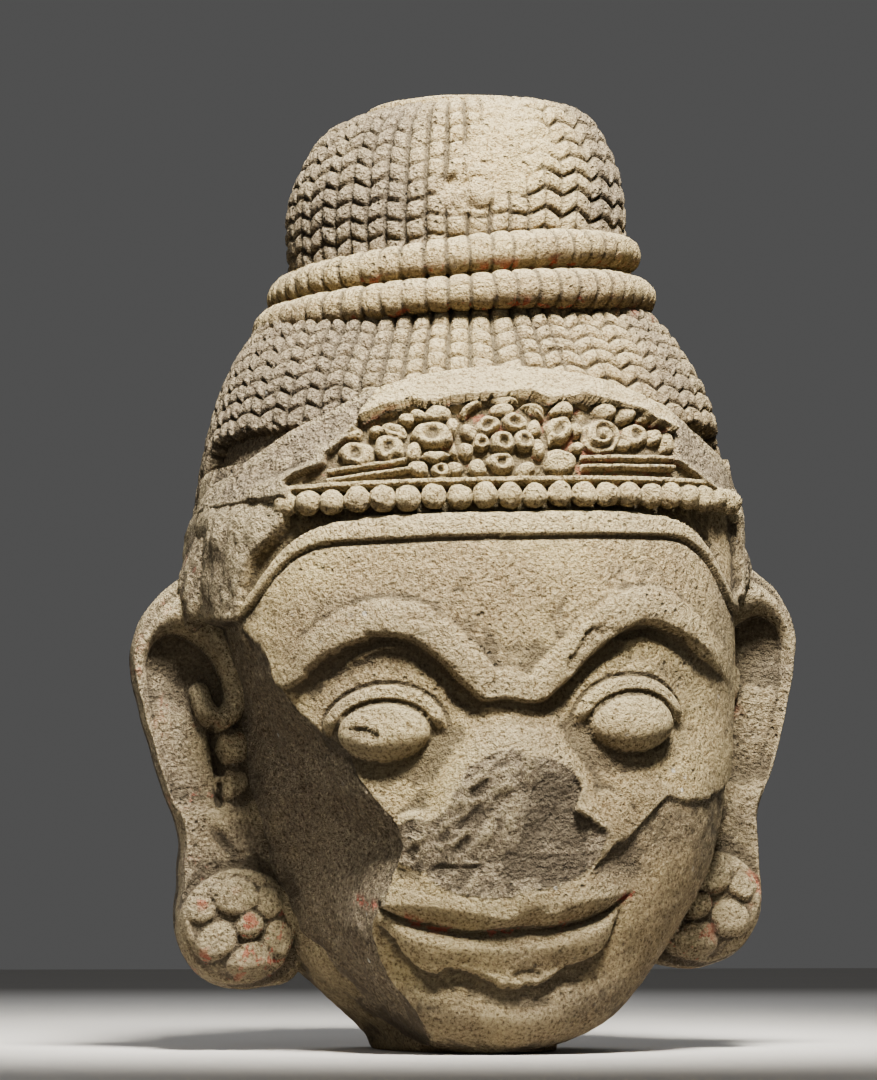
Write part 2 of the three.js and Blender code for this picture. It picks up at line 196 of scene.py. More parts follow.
# Soft mounds and hollows of the face: place across, height, spread across, spread up, how far out
FACE_FORMS = [
    (-84, 222, 44, 28, -11),
    (84, 224, 44, 28, -11),
    (-96, 160, 38, 24, 4),
    (96, 164, 38, 24, 4),
    (0, 94, 72, 32, 8),
    (0, 22, 54, 17, 3),
    (0, 262, 34, 22, 3),
    (0, 306, 90, 22, 2),
]

# The brows' centre line, from one temple to the other: place across, height
BROWS = np.array(
    [
        (-146, 243),
        (-132, 257),
        (-114, 272),
        (-90, 282),
        (-66, 280),
        (-46, 268),
        (-28, 251),
        (-14, 240),
        (-2, 239),
        (12, 237),
        (30, 248),
        (52, 268),
        (74, 283),
        (94, 287),
        (118, 279),
        (140, 263),
        (164, 248),
    ],
    float,
)
# The eyes: their middles, then the reach across and up of the ball, the lids and the mound they sit on
EYES = [(-80, 209), (82, 211)]
EYE_BALL = (29.0, 20.5)
EYE_LID = (39.5, 31.0)
EYE_MOUND = (56.0, 45.0)

# What the nose keeps of its form: height, how far out, half width
NOSE_ROWS = np.array(
    [
        (94, 0, 66),
        (101, 3, 68),
        (110, 7, 70),
        (119, 12, 71),
        (128, 19, 72),
        (140, 25, 70),
        (150, 27, 67),
        (164, 26, 61),
        (176, 24, 57),
        (190, 20, 52),
        (206, 14.5, 45),
        (226, 8, 39),
        (244, 4, 36),
        (262, 0, 34),
    ],
    float,
)
# The nose's wings: place across, height, half width, half height, how far out
NOSE_WINGS = [(-57, 139, 25, 22, 11), (54, 145, 30, 26, 6.0)]
# How far across the nose's right face reaches: heights, then places
NOSE_FACE_HEIGHTS = [128, 154, 160, 168, 176, 188, 196]
NOSE_FACE_REACH = [84, 38, 41, 44, 41, 29, 14]

# The mouth's line, the top of the upper lip and the foot of the lower one: place across, height
MOUTH = np.array(
    [
        (-94, 103), (-87, 99), (-66, 88), (-45, 82), (-27, 78.5), (0, 80), (22, 80), (41, 82.5),
        (60, 88), (80, 100),
    ],
    float,
)
LIP_TOP = np.array(
    [
        (-94, 103), (-82, 100), (-66, 99), (-46, 97), (-24, 92), (-5, 88), (2, 92), (12, 95),
        (21, 91), (44, 97), (62, 100), (80, 102),
    ],
    float,
)
LIP_FOOT = np.array(
    [
        (-94, 100), (-77, 82), (-66, 68), (-51, 55), (-38, 58), (-22, 52), (-8, 44), (8, 43),
        (22, 46), (32, 54), (46, 58), (61, 68), (70, 86), (80, 99),
    ],
    float,
)

# The flake off the left cheek: place across, height of its upper edge
FLAKE = np.array(
    [
        (44, 112), (54, 120), (72, 134), (92, 150), (104, 161), (118, 160), (146, 163), (178, 180),
    ],
    float,
)

# Chips: place across, height, half length, half width, turn in radians, depth
CHIPS = [
    (-90, 207, 11, 5, -0.5, 4.0),
    (50, 259, 26, 8, 0.82, 2.8),
    (8, 50, 13, 6, -0.1, 2.0),
    (-10, 334, 8, 2.5, 0.0, 1.5),
    (-34, 300, 5, 3, 0.2, 1.2),
    (66, 242, 4, 3, 0.2, 1.0),
]

# The diadem
FILLET_HEIGHT = 333.0
FILLET_DROP = 46.0
BEAD_HEIGHT = 361.0
BEADS_FROM = -139.0
BEADS_TO = 176.0
BAND_BOTTOM = 369.0
BAND_TOP = 447.0
BAND_ARCH = 27.0
PANEL_EDGE = 117.0

# Ornament of the diadem: kind, place across, height, half width, half height, turn in degrees, how far out
ORNAMENT = [
    ("leaf", -97, 404, 8, 5, 20, 8),
    ("cup", -94, 390, 11, 9, 0, 10),
    ("cup", -74, 393, 10, 9, 10, 11),
    ("leaf", -71, 404, 9, 6, -25, 10),
    ("pad", -81, 405, 5, 5, 0, 9),
    ("pad", -62, 411, 6, 5, 0, 10),
    ("cup", -47, 400, 14, 9, 0, 13),
    ("pad", -43, 413, 10, 7, 10, 13),
    ("pad", -55, 414, 6, 5, 0, 11),
    ("pad", -59, 389, 6, 7, 0, 10),
    ("pad", -45, 386, 10, 4, 8, 11),
    ("cup", -43, 377, 7, 6, 0, 10),
    ("pad", -57, 379, 6, 5, 0, 9),
    ("pad", -33, 405, 5, 7, 20, 10),
    ("pad", -31, 391, 5, 7, -10, 10),
    ("pad", -33, 378, 5, 5, 0, 9),
    ("leaf", -20, 417, 9, 5, 25, 11),
    ("leaf", 1, 420, 11, 5, -5, 12),
    ("leaf", 20, 415, 9, 5, -30, 11),
    ("cup", 35, 402, 12, 9, 30, 12),
    ("pad", 39, 415, 8, 6, 0, 13),
    ("pad", 35, 382, 12, 9, 0, 9),
    ("pad", 47, 391, 5, 4, 0, 10),
    ("pad", 48, 403, 4, 6, 0, 9),
    ("curl", 65, 399, 14, 13, 0, 12),
    ("pad", 68, 415, 8, 6, 0, 12),
    ("pad", 83, 414, 7, 7, 10, 11),
    ("leaf", 98, 414, 9, 7, 20, 11),
    ("pad", 110, 411, 6, 8, 0, 9),
    ("cup", 89, 400, 10, 8, 0, 9),
    ("pad", 103, 399, 6, 6, 0, 8),
    ("pad", 112, 396, 5, 8, 0, 8),
    ("pad", 80, 393, 5, 4, 0, 8),
]
ROSETTE = (-2.0, 394.0)
# The rosette's petals: kind, place across and up from its middle, half width, half height, turn, how far out
PETALS = [
    ("cup", 0, 0, 8.8, 8.4, 0, 15),
    ("cup", -14.5, 0.5, 6.4, 6.0, 0, 12),
    ("cup", 14.5, 1.0, 7.4, 8.4, 0, 12),
    ("cup", -1.5, -13.0, 9.8, 7.4, 0, 12),
    ("cup", -9.5, 11.6, 10.5, 6.2, 28, 12),
    ("cup", 9.0, 13.5, 9.5, 6.2, -28, 12),
    ("pad", 20.5, 9.0, 5.4, 6.4, -40, 10),
    ("pad", -21.5, 8.0, 5.2, 6.4, 35, 10),
    ("pad", 23.5, -4.0, 5.0, 7.4, 0, 10),
    ("pad", -24.0, -4.5, 5.0, 6.4, 0, 10),
    ("pad", 14.0, -17.5, 6.8, 5.6, 35, 10),
    ("pad", -17.0, -16.0, 6.2, 5.6, -35, 10),
    ("pad", 1.0, 22.5, 8.4, 4.6, 0, 10),
]
# The fine mouldings beside the rosette: height, half thickness, how far out
MOULDINGS = [(385, 2.4, 6.5), (378.5, 2.4, 7.5)]

# An ear's outline: place outwards, height
EAR_OUTLINE = np.array(
    [
        (150, 322),
        (176, 331),
        (198, 322),
        (218, 303),
        (229, 277),
        (227, 250),
        (218, 213),
        (209, 182),
        (198, 152),
        (199, 116),
        (200, 86),
        (189, 62),
        (170, 50),
        (142, 48),
        (118, 60),
        (116, 110),
        (136, 190),
        (140, 270),
    ],
    float,
)
# The fold of an ear, from its outer side over the top, down inside and out into a curl:
# place outwards, height, half width, how far forward
EAR_FOLD = np.array(
    [
        (226, 250, 8, 7),
        (229, 268, 10, 10),
        (224, 286, 12, 13),
        (211, 298, 14, 16),
        (196, 300, 15, 17),
        (182, 292, 14, 17),
        (170, 279, 12, 16),
        (163, 263, 10, 14),
        (160, 247, 9, 13),
        (163, 234, 9, 12),
        (172, 228, 8.5, 12),
        (180, 235, 8, 12),
        (184, 247, 7, 11),
    ],
    float,
)
# The rim of an ear below its fold, in the same measures
EAR_RIM = np.array(
    [
        (227, 262, 8, 8),
        (225, 240, 8, 7),
        (219, 218, 8, 6),
        (211, 192, 8, 5),
        (203, 166, 8, 3),
        (200, 150, 7, 1),
    ],
    float,
)
# An earring's petals: kind, place inwards and up from its middle, half width, half height, turn, how far out
EARRING_PETALS = [
    ("pad", 7, 1, 9.8, 9.8, 0, 8.5),
    ("pad", -15, -9, 15.5, 12.5, 35, 6.5),
    ("pad", 8, -23, 15.5, 15, 0, 6.5),
    ("pad", 26, -9, 10.5, 13.5, 10, 5),
    ("pad", -2, 20, 16, 13.5, -15, 6),
    ("pad", 20, 15, 10.5, 10.5, 0, 4.5),
    ("pad", -25, 12, 10, 9.5, 0, 3.5),
    ("pad", -21, -31, 11, 8, -35, 3),
    ("pad", 27, -29, 10, 8, 30, 2.5),
]
# Each ear: its side, its name, how much higher it sits, how much farther out its lower part hangs
EARS = [(-1, "right", -2.0, -4.0), (1, "left", 1.0, 5.0)]
EARRING_HEIGHT = 89.0
EARRING_REACH = 42.0
# The stumps of hair over the ears: side, name, middle, half size, how far the foot spreads outwards
STUBS = [
    (-1, "right", (-178, -14, 325), (18, 40, 44), 0.2),
    (1, "left", (175, -20, 316), (20, 38, 27), 0.0),
]

# The cords round the foot of the topknot, the lower one first
CORD_HEIGHTS = [503.0, 530.0]
CORD_REACH = [127.0, 117.0]
CORD_LEAN = [0.05, 0.085]
CORD_RADIUS = 12.6

# The topknot's place from front to back and its lean, and the slab on it: radius, height
TOPKNOT_AXIS = 24.0
TOPKNOT_LEAN = 0.045
SLAB_ROWS = [(56, 634), (58, 640), (58, 646.4), (56.5, 647.6), (34, 648), (8, 648.2)]
SLAB_ACROSS = -4

# The lights: name, place, size, power, tint, height looked at, width of the beam in degrees
LIGHTS = [
    ("key", (0.0, -0.85, 1.5), 0.5, 14, (1.0, 0.96, 0.88), 0.47, 46),
    ("fill", (-0.9, -2.4, 1.2), 1.6, 12, (1.0, 0.97, 0.93), 0.34, 180),
    ("rim", (0.3, 2.0, 1.7), 1.2, 16, (0.97, 0.98, 1.0), 0.34, 180),
]
WORLD_GREY = 0.72
WORLD_STRENGTH = 0.12


# Numbers


def smooth(low, high, value):
    """A soft step from 0 at low to 1 at high."""
    share = np.clip((value - low) / (high - low), 0, 1)
    return share * share * (3 - 2 * share)


def noise(points, size, seed):
    """Smooth noise in space from -1 to 1, with lumps of a size in the points' units."""
    place = points / size + np.array([13.7, 71.3, 37.9]) * (seed + 1)
    cell = np.floor(place).astype(np.int64)
    part = place - cell
    part = part * part * (3 - 2 * part)
    total = np.zeros(points.shape[:-1])
    for corner in range(8):
        step = np.array([corner & 1, corner >> 1 & 1, corner >> 2 & 1])
        weight = np.prod(np.where(step == 1, part, 1 - part), axis=-1)
        at = cell + step
        mixed = at[..., 0] * 73856093 ^ at[..., 1] * 19349663 ^ at[..., 2] * 83492791
        mixed = mixed ^ (seed * 2654435 + 97)
        mixed = (mixed ^ (mixed >> 13)) * 1274126177 & 0x7FFFFFFF
        mixed = (mixed ^ (mixed >> 11)) * 668265263 & 0x7FFFFFFF
        total += weight * ((mixed >> 8) % 4096 / 2048 - 1)
    return total


def rough(points, size, layers, seed):
    """Noise in layers, each half the size of the last and a little over half as strong."""
    return sum(noise(points, size / 2**k, seed + 31 * k) * 0.56**k for k in range(layers))


def table(rows, at):
    """Values of a table at places on its first column, on smooth curves through its rows."""
    places, values = rows[:, 0], rows[:, 1:]
    order = np.arange(len(rows))
    before, after = np.maximum(order - 1, 0), np.minimum(order + 1, len(rows) - 1)
    slopes = (values[after] - values[before]) / (places[after] - places[before])[:, None]
    at = np.clip(at, places[0], places[-1])
    i = np.clip(np.searchsorted(places, at, side="right") - 1, 0, len(rows) - 2)
    span = (places[i + 1] - places[i])[..., None]
    t = (at - places[i])[..., None] / span
    return (
        (2 * t**3 - 3 * t**2 + 1) * values[i]
        + (t**3 - 2 * t**2 + t) * slopes[i] * span
        + (3 * t**2 - 2 * t**3) * values[i + 1]
        + (t**3 - t**2) * slopes[i + 1] * span
    )


def outline(levels, z, angle, proud=0.0):
    """Points of a level's outline: angle 0 is the front and a quarter turn is the head's left."""
    half, front, middle, back, square = np.moveaxis(table(levels, z), -1, 0)
    s, c = np.sin(angle), np.cos(angle)
    reach = np.where(c > 0, front - proud - middle, middle - back - proud)
    x = (half + proud) * np.sign(s) * np.abs(s) ** (2 / square)
    y = middle + reach * np.sign(c) * np.abs(c) ** (2 / square)
    return np.stack(np.broadcast_arrays(x, y, z), -1)


def normals(grid, closed=True):
    """Outward normals of a grid of points: rows go up and columns go round."""
    across = np.roll(grid, -1, 1) - np.roll(grid, 1, 1) if closed else np.gradient(grid, axis=1)
    normal = np.cross(across, np.gradient(grid, axis=0))
    return normal / np.maximum(np.linalg.norm(normal, axis=-1, keepdims=True), 1e-9)


def spread(low, high, count, density):
    """Places from low to high, closer together where the density is higher."""
    fine = np.linspace(low, high, 4001)
    total = np.concatenate([[0], np.cumsum((density(fine[1:]) + density(fine[:-1])) / 2)])
    return np.interp(np.linspace(0, total[-1], count), total, fine)


def blurred(values, cells, closed=True):
    """A grid of values blurred over some cells both ways."""
    for _ in range(2):
        for axis in (0, 1):
            if axis == 1 and closed:
                padded = np.concatenate([values[:, -cells:], values, values[:, :cells]], axis=1)
            else:
                margins = [(cells, cells) if a == axis else (0, 0) for a in (0, 1)]
                padded = np.pad(values, margins, mode="edge")
            sums = np.cumsum(np.insert(padded, 0, 0, axis=axis), axis=axis)
            size = 2 * cells + 1
            high, low = [slice(None)] * 2, [slice(None)] * 2
            high[axis], low[axis] = slice(size, None), slice(None, -size)
            values = (sums[tuple(high)] - sums[tuple(low)]) / size
    return values


def hollows(height, closed=True):
    """How deep each place of a relief lies under its surroundings, from -1 on edges to 1 in creases. The
    stone darkens its creases by this with dirt and painted shade, and pales its edges by it as rubbed wear.
    """
    near = blurred(height, 2, closed) - height
    wide = blurred(height, 7, closed) - height
    return np.clip(near * 0.7 + wide * 0.28, -1, 1)


# Meshes


def leaned(points):
    """Drawn points as metres, with the carving's lean to its left."""
    moved = np.array(points, float)
    moved[..., 2] += LEAN * moved[..., 0]
    return moved * UNIT


def mesh_object(name, points, faces, marks):
    """An object of a mesh in metres, with a value for each point under each mark's name."""
    mesh = bpy.data.meshes.new(name)
    mesh.from_pydata(points.tolist(), [], faces)
    for mark, values in marks.items():
        attribute = mesh.attributes.new(mark, "FLOAT", "POINT")
        attribute.data.foreach_set("value", np.ascontiguousarray(values, np.float32))
    mesh.polygons.foreach_set("use_smooth", [True] * len(mesh.polygons))
    mesh.update()
    thing = bpy.data.objects.new(name, mesh)
    bpy.context.scene.collection.objects.link(thing)
    return thing


def shell(name, grid, marks):
    """A closed piece from a grid of drawn points: its columns go round, and a fan closes both ends."""
    rows, columns = grid.shape[:2]
    points = leaned(grid.reshape(-1, 3))
    index = np.arange(rows * columns).reshape(rows, columns)
    a, b = index[:-1], np.roll(index[:-1], -1, 1)
    c, d = np.roll(index[1:], -1, 1), index[1:]
    faces = np.stack([a, b, c, d], -1).reshape(-1, 4).tolist()
    middles = leaned(np.array([grid[0].mean(0), grid[-1].mean(0)]))
    first, last = rows * columns, rows * columns + 1
    low, high = index[0].tolist(), index[-1].tolist()
    faces += [[low[(i + 1) % columns], low[i], first] for i in range(columns)]
    faces += [[high[i], high[(i + 1) % columns], last] for i in range(columns)]
    points = np.concatenate([points, middles])
    volume = signed_volume(points, np.stack([a, b, c, d], -1).reshape(-1, 4))
    if volume < 0:
        faces = [face[::-1] for face in faces]
    ends = {mark: np.concatenate([v.reshape(-1), [v[0].mean(), v[-1].mean()]]) for mark, v in marks.items()}
    return mesh_object(name, points, faces, ends)


def signed_volume(points, quads):
    """Six times the volume inside quads, over 0 where they face outwards."""
    centre = points.mean(0)
    p = points[quads] - centre
    one = np.einsum("ij,ij->i", p[:, 0], np.cross(p[:, 1], p[:, 2]))
    two = np.einsum("ij,ij->i", p[:, 0], np.cross(p[:, 2], p[:, 3]))
    return float((one + two).sum())


def finished(piece):
    """Gives a piece its stone and ties it to the frame."""
    piece.data.materials.clear()
    piece.data.materials.append(bpy.data.materials[STONE])
    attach(piece, BODY)
    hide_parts(NODE)
    return piece


# The block: face, cheeks, nape and neck


def drop_at(angle):
    """How far the fillet under the beads has turned down at an angle round the head."""
    return FILLET_DROP * smooth(0.5, 1.15, np.abs(angle)) ** 2


def hairline(angle):
    """Where the hair starts: over the diadem in front, over the ears, and at the nape behind."""
    toward_front = (1 + np.cos(angle)) / 2
    return 130 + 285 * np.minimum(1, toward_front * 1.75) ** 0.8


def surface_y(levels, x, z):
    """How far forward the plain outline lies at a place across."""
    half, front, middle, _, square = np.moveaxis(table(levels, z), -1, 0)
    share = np.clip(np.abs(x) / half, 0, 0.999)
    return middle + (front - middle) * (1 - share**square) ** (1 / square)


def brows(points):
    """Heavy brows, rounded above and sharp below over a hollow, and ragged over the right temple."""
    x, z = points[..., 0], points[..., 2]
    line = table(BROWS, x)[..., 0]
    slope = (table(BROWS, x + 1)[..., 0] - table(BROWS, x - 1)[..., 0]) / 2
    off = (z - line) / np.sqrt(1 + np.clip(slope, -1.6, 1.6) ** 2)
    away = np.abs(x)
    wide = 11.5 - 3 * smooth(90, 155, away) - 2.5 * (1 - smooth(4, 26, away))
    low = (off - 3.4 * rough(points, 12, 4, 37) * smooth(-80, -98, x)) / wide
    top = 1 - 0.3 * smooth(0.6, 1.3, off / wide) - 0.7 * smooth(-0.6, 2.6, off / wide)
    foot = smooth(-1.25, -0.8, low)
    ends = smooth(-156, -122, x) * (1 - smooth(128, 172, x))
    strength = 9.2 - 3.4 * smooth(60, 150, away) - 1.5 * (1 - smooth(4, 22, away))
    under = 3.2 * np.exp(-(((low * wide + wide + 5) / 6) ** 2))
    under = under * smooth(12, 34, away) * (1 - 0.6 * smooth(110, 150, away))
    return ends * (strength * top * foot - under)


def eyes(x, z):
    """Bulging balls in a pair of lids, over the socket."""
    total = np.zeros_like(x)
    for middle, height in EYES:
        across, up = x - middle, z - height
        ball = np.hypot(across / EYE_BALL[0], up / EYE_BALL[1])
        lid = np.hypot(across / EYE_LID[0], up / EYE_LID[1])
        mound = np.hypot(across / EYE_MOUND[0], (up - 5) / EYE_MOUND[1])
        over = smooth(-4, 10, up)
        base = 16.5 * (1 - smooth(0.2, 1.0, mound))
        base -= 5.5 * smooth(0.94, 1.04, ball) * (1 - smooth(1.1, 2.0, ball)) * (1 - over)
        band = 2.6 * (1 - smooth(0.985, 1.005, lid)) * over
        groove = 2.4 * np.exp(-(((lid - 1.02) * 34 / 1.5) ** 2)) * smooth(0, 12, up)
        dome = 13.5 * np.sqrt(np.clip(1 - ball**2, 0, 1)) - 3.4 + 0.09 * up
        rim = 3.0 * np.exp(-(((ball - 1.03) * 24 / 1.7) ** 2)) * (0.45 + 0.55 * over)
        total += base + np.where(ball < 1, dome, band) - groove - rim
    crease = np.exp(-(((z - 271 + 0.008 * (x - 95) ** 2) / 1.7) ** 2))
    crease = crease * smooth(56, 66, x) * (1 - smooth(136, 146, x))
    edge = np.exp(-(((z - 264 + 0.012 * (x + 76) ** 2) / 1.6) ** 2))
    edge = edge * smooth(-110, -102, x) * (1 - smooth(-58, -50, x))
    return total - 2.2 * crease + 1.8 * edge


def nose(points):
    """What is left of the nose, where it is broken off, and the painted shade on the steep face of the break.
    """
    x, z = points[..., 0], points[..., 2]
    ridge, half = np.moveaxis(table(NOSE_ROWS, z), -1, 0)
    body = ridge * np.clip(1 - (x / half) ** 2, 0, 1) ** 1.4
    for at, height, wide, tall, out in NOSE_WINGS:
        wing = out * np.clip(1 - ((x - at) / wide) ** 2 - ((z - height) / tall) ** 2, 0, 1)
        body = np.cbrt(body**3 + wing**3)
    grain = rough(points, 18, 5, 5)
    slanted = np.stack([0.8 * x + 0.6 * z, 3.2 * (0.8 * z - 0.6 * x), 0 * x], -1)
    scratches = rough(slanted, 17, 2, 29)
    ragged = 20 + 0.094 * (x - 12) + 0.18 * (z - 190) + 1.8 * grain + 1.5 * scratches
    sheer = 20 - 0.33 * (x - 12) + 0.30 * (z - 190) + 0.25 * grain
    right = np.maximum(sheer, 4.8 - 0.04 * (z - 135) + 0.6 * grain)
    right_end = np.interp(z, NOSE_FACE_HEIGHTS, NOSE_FACE_REACH) + 1.2 * grain
    right = np.where(x < right_end, right, 99)
    left = 7.5 + 0.2 * (z - 148) + 0.03 * (x + 50) + 1.3 * grain + 1.1 * scratches
    left = np.where(x < -37 + 2 * grain, np.maximum(left, 2.5), 99)
    below = np.maximum(10 + 0.34 * (z - 143) + 0.5 * grain, 4.2)
    cut = np.maximum(np.minimum.reduce([ragged, right, left, below]), 0.5)
    broken = smooth(0.1, 1.0, body - cut) * (body > 3)
    groove = 1.6 * np.exp(-(((z - 121) / 1.6) ** 2)) * smooth(-58, -50, x) * (1 - smooth(-26, -16, x))
    # Painted shade: the steep face of the break on the head's left side, which turns away from the light, is
    # darkened.
    painted_shade = broken * smooth(-1.0, 0.6, ragged - right) * smooth(50, 42, x)
    return np.minimum(body, cut) - groove, broken, painted_shade


def mouth(points):
    """A wide closed mouth: an upper lip that hangs over the line, and a full lower lip broken off below."""
    x, z = points[..., 0], points[..., 2]
    line = table(MOUTH, x)[..., 0]
    top = table(LIP_TOP, x)[..., 0]
    foot = table(LIP_FOOT, x)[..., 0] + 1.8 * rough(points, 11, 4, 67)
    inside = smooth(-98, -74, x) * (1 - smooth(58, 84, x))
    share_up = np.clip((z - line) / np.maximum(top - line, 3), 0, 1)
    upper = np.where(z > top, 9.0 * (1 - smooth(0, 26, z - top)), 9.0 * share_up**0.8)
    share_down = np.clip((line - z) / np.maximum(line - foot, 3), 0, 1)
    lower = 8.0 * smooth(-0.1, 0.34, share_down) * (1 - 0.3 * smooth(0.4, 1.0, share_down))
    lower = lower * np.clip((line - foot) / 24, 0, 1) * smooth(-1.8, 1.2, z - foot)
    crease = 2.8 * np.exp(-(((z - line) / 1.7) ** 2)) * smooth(-98, -90, x) * (1 - smooth(76, 84, x))
    under = 3.0 * np.exp(-(((z - foot + 6) / 9) ** 2)) * (z < foot + 1)
    return inside * (np.where(z > line, upper, lower) - under) - crease


def chips(points):
    """Small flakes knocked off the face, with sharp edges."""
    x, z = points[..., 0], points[..., 2]
    depth = np.zeros_like(x)
    wander = 0.35 * rough(points, 9, 3, 17)
    for middle, height, length, width, turn, deep in CHIPS:
        c, s = math.cos(turn), math.sin(turn)
        along = ((x - middle) * c + (z - height) * s) / length
        across = (-(x - middle) * s + (z - height) * c) / width
        reach = np.hypot(along, across) + wander
        depth = np.maximum(depth, deep * (1 - smooth(0.7, 1.0, reach)) * (0.7 + 0.3 * across))
    return depth


def flake(points):
    """The shallow flake off the left cheek, sharp above and fading out towards the jaw."""
    x, z = points[..., 0], points[..., 2]
    edge = table(FLAKE, x)[..., 0] + 2.2 * rough(points, 16, 4, 23)
    below = edge - z
    deep = 2.5 + 0.5 * noise(points, 12, 91)
    return deep * smooth(0, 2.5, below) * (1 - smooth(10, 64, below)) * smooth(42, 58, x)


def broken_cheek(points):
    """Pulls points in to the rough face of the break over the right cheek, and says how far each moved."""
    x, y, z = np.moveaxis(points, -1, 0)
    inner = table(BREAK_INNER, z)[..., 0]
    edge = table(BREAK_EDGE, z)[..., 0] + 1.6 * rough(points, 15, 4, 43)
    edge_y = surface_y(HEAD_LEVELS, edge, z) + 1.5
    share = np.clip((y - BREAK_MEETS_EAR) / (edge_y - BREAK_MEETS_EAR), -1, 1)
    limit = np.where(share > 0, inner + (edge - inner) * share, inner + 54 * share)
    streaks = np.stack([x, y + 0.1 * z, 0.08 * z], -1)
    limit = limit + 2.2 * rough(points, 34, 5, 41) + 1.8 * rough(streaks, 13, 3, 47)
    crack = y + 88 + 0.33 * (z - 200) + 2.5 * noise(points, 18, 73)
    limit = limit + 2.6 * np.exp(-((crack / 1.7) ** 2)) * smooth(122, 140, z) * (1 - smooth(204, 216, z))
    front = smooth(-1.0, 0.6, edge - x)
    limit = np.where(z < 286, limit, limit - 3 * (z - 286))
    moved = np.clip(limit - x, 0, None) * front
    points[..., 0] += moved
    return moved


def temple_fill(points):
    """How far the rough stone left by the break stands out between the diadem's right end and the ear."""
    x, z = points[..., 0], points[..., 2]
    edge = table(TEMPLE_EDGE, z)[..., 0] + 1.2 * rough(points, 12, 3, 39)
    streaks = np.stack([x, points[..., 1], 0.25 * z], -1)
    rise = 3.0 + 5.0 * smooth(376, 352, z) + 2.0 * rough(points, 34, 4, 31) + 1.3 * rough(streaks, 11, 3, 35)
    return rise, (1 - smooth(-0.8, 1.4, x - edge)) * smooth(250, 306, z)


def face_density(angle):
    """How closely the block's columns stand: closest over the face."""
    away = np.abs(angle)
    return 0.13 + 0.47 * (1 - smooth(1.3, 1.6, away)) + 0.4 * (1 - smooth(0.8, 1.0, away))


def block_points():
    """The block's grid, its relief above the plain form, how broken each place is, and the painted shade laid
    on it with some soil; the broken mark carries painted shade and soil too.
    """
    angle = spread(-math.pi, math.pi, 421, face_density)[:-1]
    z = spread(2, 392, 232, lambda z: 0.3 + 0.7 * smooth(22, 44, z) * (1 - smooth(336, 356, z)))
    angle, z = np.meshgrid(angle, z)
    plain = outline(HEAD_LEVELS, z, angle)
    x, front = plain[..., 0], smooth(0.0, 0.25, np.cos(angle))
    relief = np.zeros_like(x)
    for place, height, wide, tall, out in FACE_FORMS:
        relief += out * np.exp(-(((x - place) / wide) ** 2) - (((z - height) / tall) ** 2))
    shut = 1 - smooth(304, 322, z + drop_at(angle))
    wedge, broken, painted_shade = nose(plain)
    relief += shut * (brows(plain) + eyes(x, z)) + mouth(plain) + wedge
    relief -= chips(plain) + flake(plain)
    over = z - FILLET_HEIGHT + drop_at(angle)
    band = 17.5 - 6.5 * smooth(0.35, 0.95, np.abs(angle))
    fillet = 2.2 * smooth(-0.4, 1.4, over) + 1.2 * np.clip(1 - ((over - band / 2) / (band / 2)) ** 2, 0, 1)
    recess = 9 - 6.5 * smooth(0.85, 1.15, np.abs(angle))
    fillet -= 2.6 * np.exp(-((over / 1.3) ** 2)) + recess * smooth(band - 1.5, band + 1.5, over)
    relief += fillet * (1 - smooth(1.9, 2.2, np.abs(angle)))
    relief *= front
    rise, filled = temple_fill(plain)
    left = smooth(1.2, 1.3, angle + 0.04 * rough(plain, 16, 3, 61)) * smooth(band - 3, band + 2, over)
    filled = np.maximum(filled, left) * (1 - smooth(1.75, 2.0, np.abs(angle)))
    relief = relief * (1 - filled) + rise * filled
    relief += 0.9 * noise(plain, 46, 3) + 0.55 * noise(plain, 17, 9) + 0.32 * rough(plain, 6, 3, 11)
    relief -= 14 * smooth(-4, 6, z - hairline(angle))
    relief -= (1 - front) * smooth(-20, 30, z) * 1.2 * np.abs(noise(plain, 30, 77))
    grid = plain + normals(plain) * relief[..., None]
    grid[..., 2] = np.maximum(grid[..., 2], 0.2 - LEAN * grid[..., 0])
    moved = broken_cheek(grid)
    broken = np.maximum(broken * front, smooth(0.1, 1.5, moved))
    broken = np.maximum(broken, smooth(0.4, 3, flake(plain)) * front * 0.5)
    broken = np.maximum(broken, smooth(0.5, 2.0, chips(plain)) * front * 0.4)
    broken = np.maximum(broken, 0.85 * filled)
    # Painted shade and soil: darker towards the chin and the head's left side as painted shade, and below the
    # flake and in random patches as soil.
    shade_and_soil = smooth(74, 20, z) + 0.5 * smooth(96, 160, x) + 0.45 * smooth(0.4, 2, flake(plain)) * front
    shade_and_soil = np.clip(shade_and_soil + 0.5 * rough(plain, 50, 3, 25), 0, 1)
    # The broken mark carries this painted shade and soil as well, for a darker, greyer tone.
    broken = np.maximum(broken, 0.6 * shade_and_soil)
    painted_shade = 0.5 * painted_shade * front + 0.28 * shade_and_soil
    return grid, relief - 0.5 * np.minimum(moved, 3), broken, painted_shade


def build_block():
    """The face and the whole block under the hair."""
    grid, relief, broken, painted_shade = block_points()
    # The hollow mark carries the painted shade on top of the relief's creases.
    marks = {"hollow": hollows(relief) + painted_shade, "broken": broken, "paint": np.zeros_like(relief)}
    x, z = grid[..., 0], grid[..., 2]
    line = np.exp(-(((z - table(MOUTH, x)[..., 0]) / 3.2) ** 2)) * (np.abs(x) < 96) * (grid[..., 1] < -120)
    marks["paint"] = line * 0.8
    return finished(shell("head_block", grid, marks))


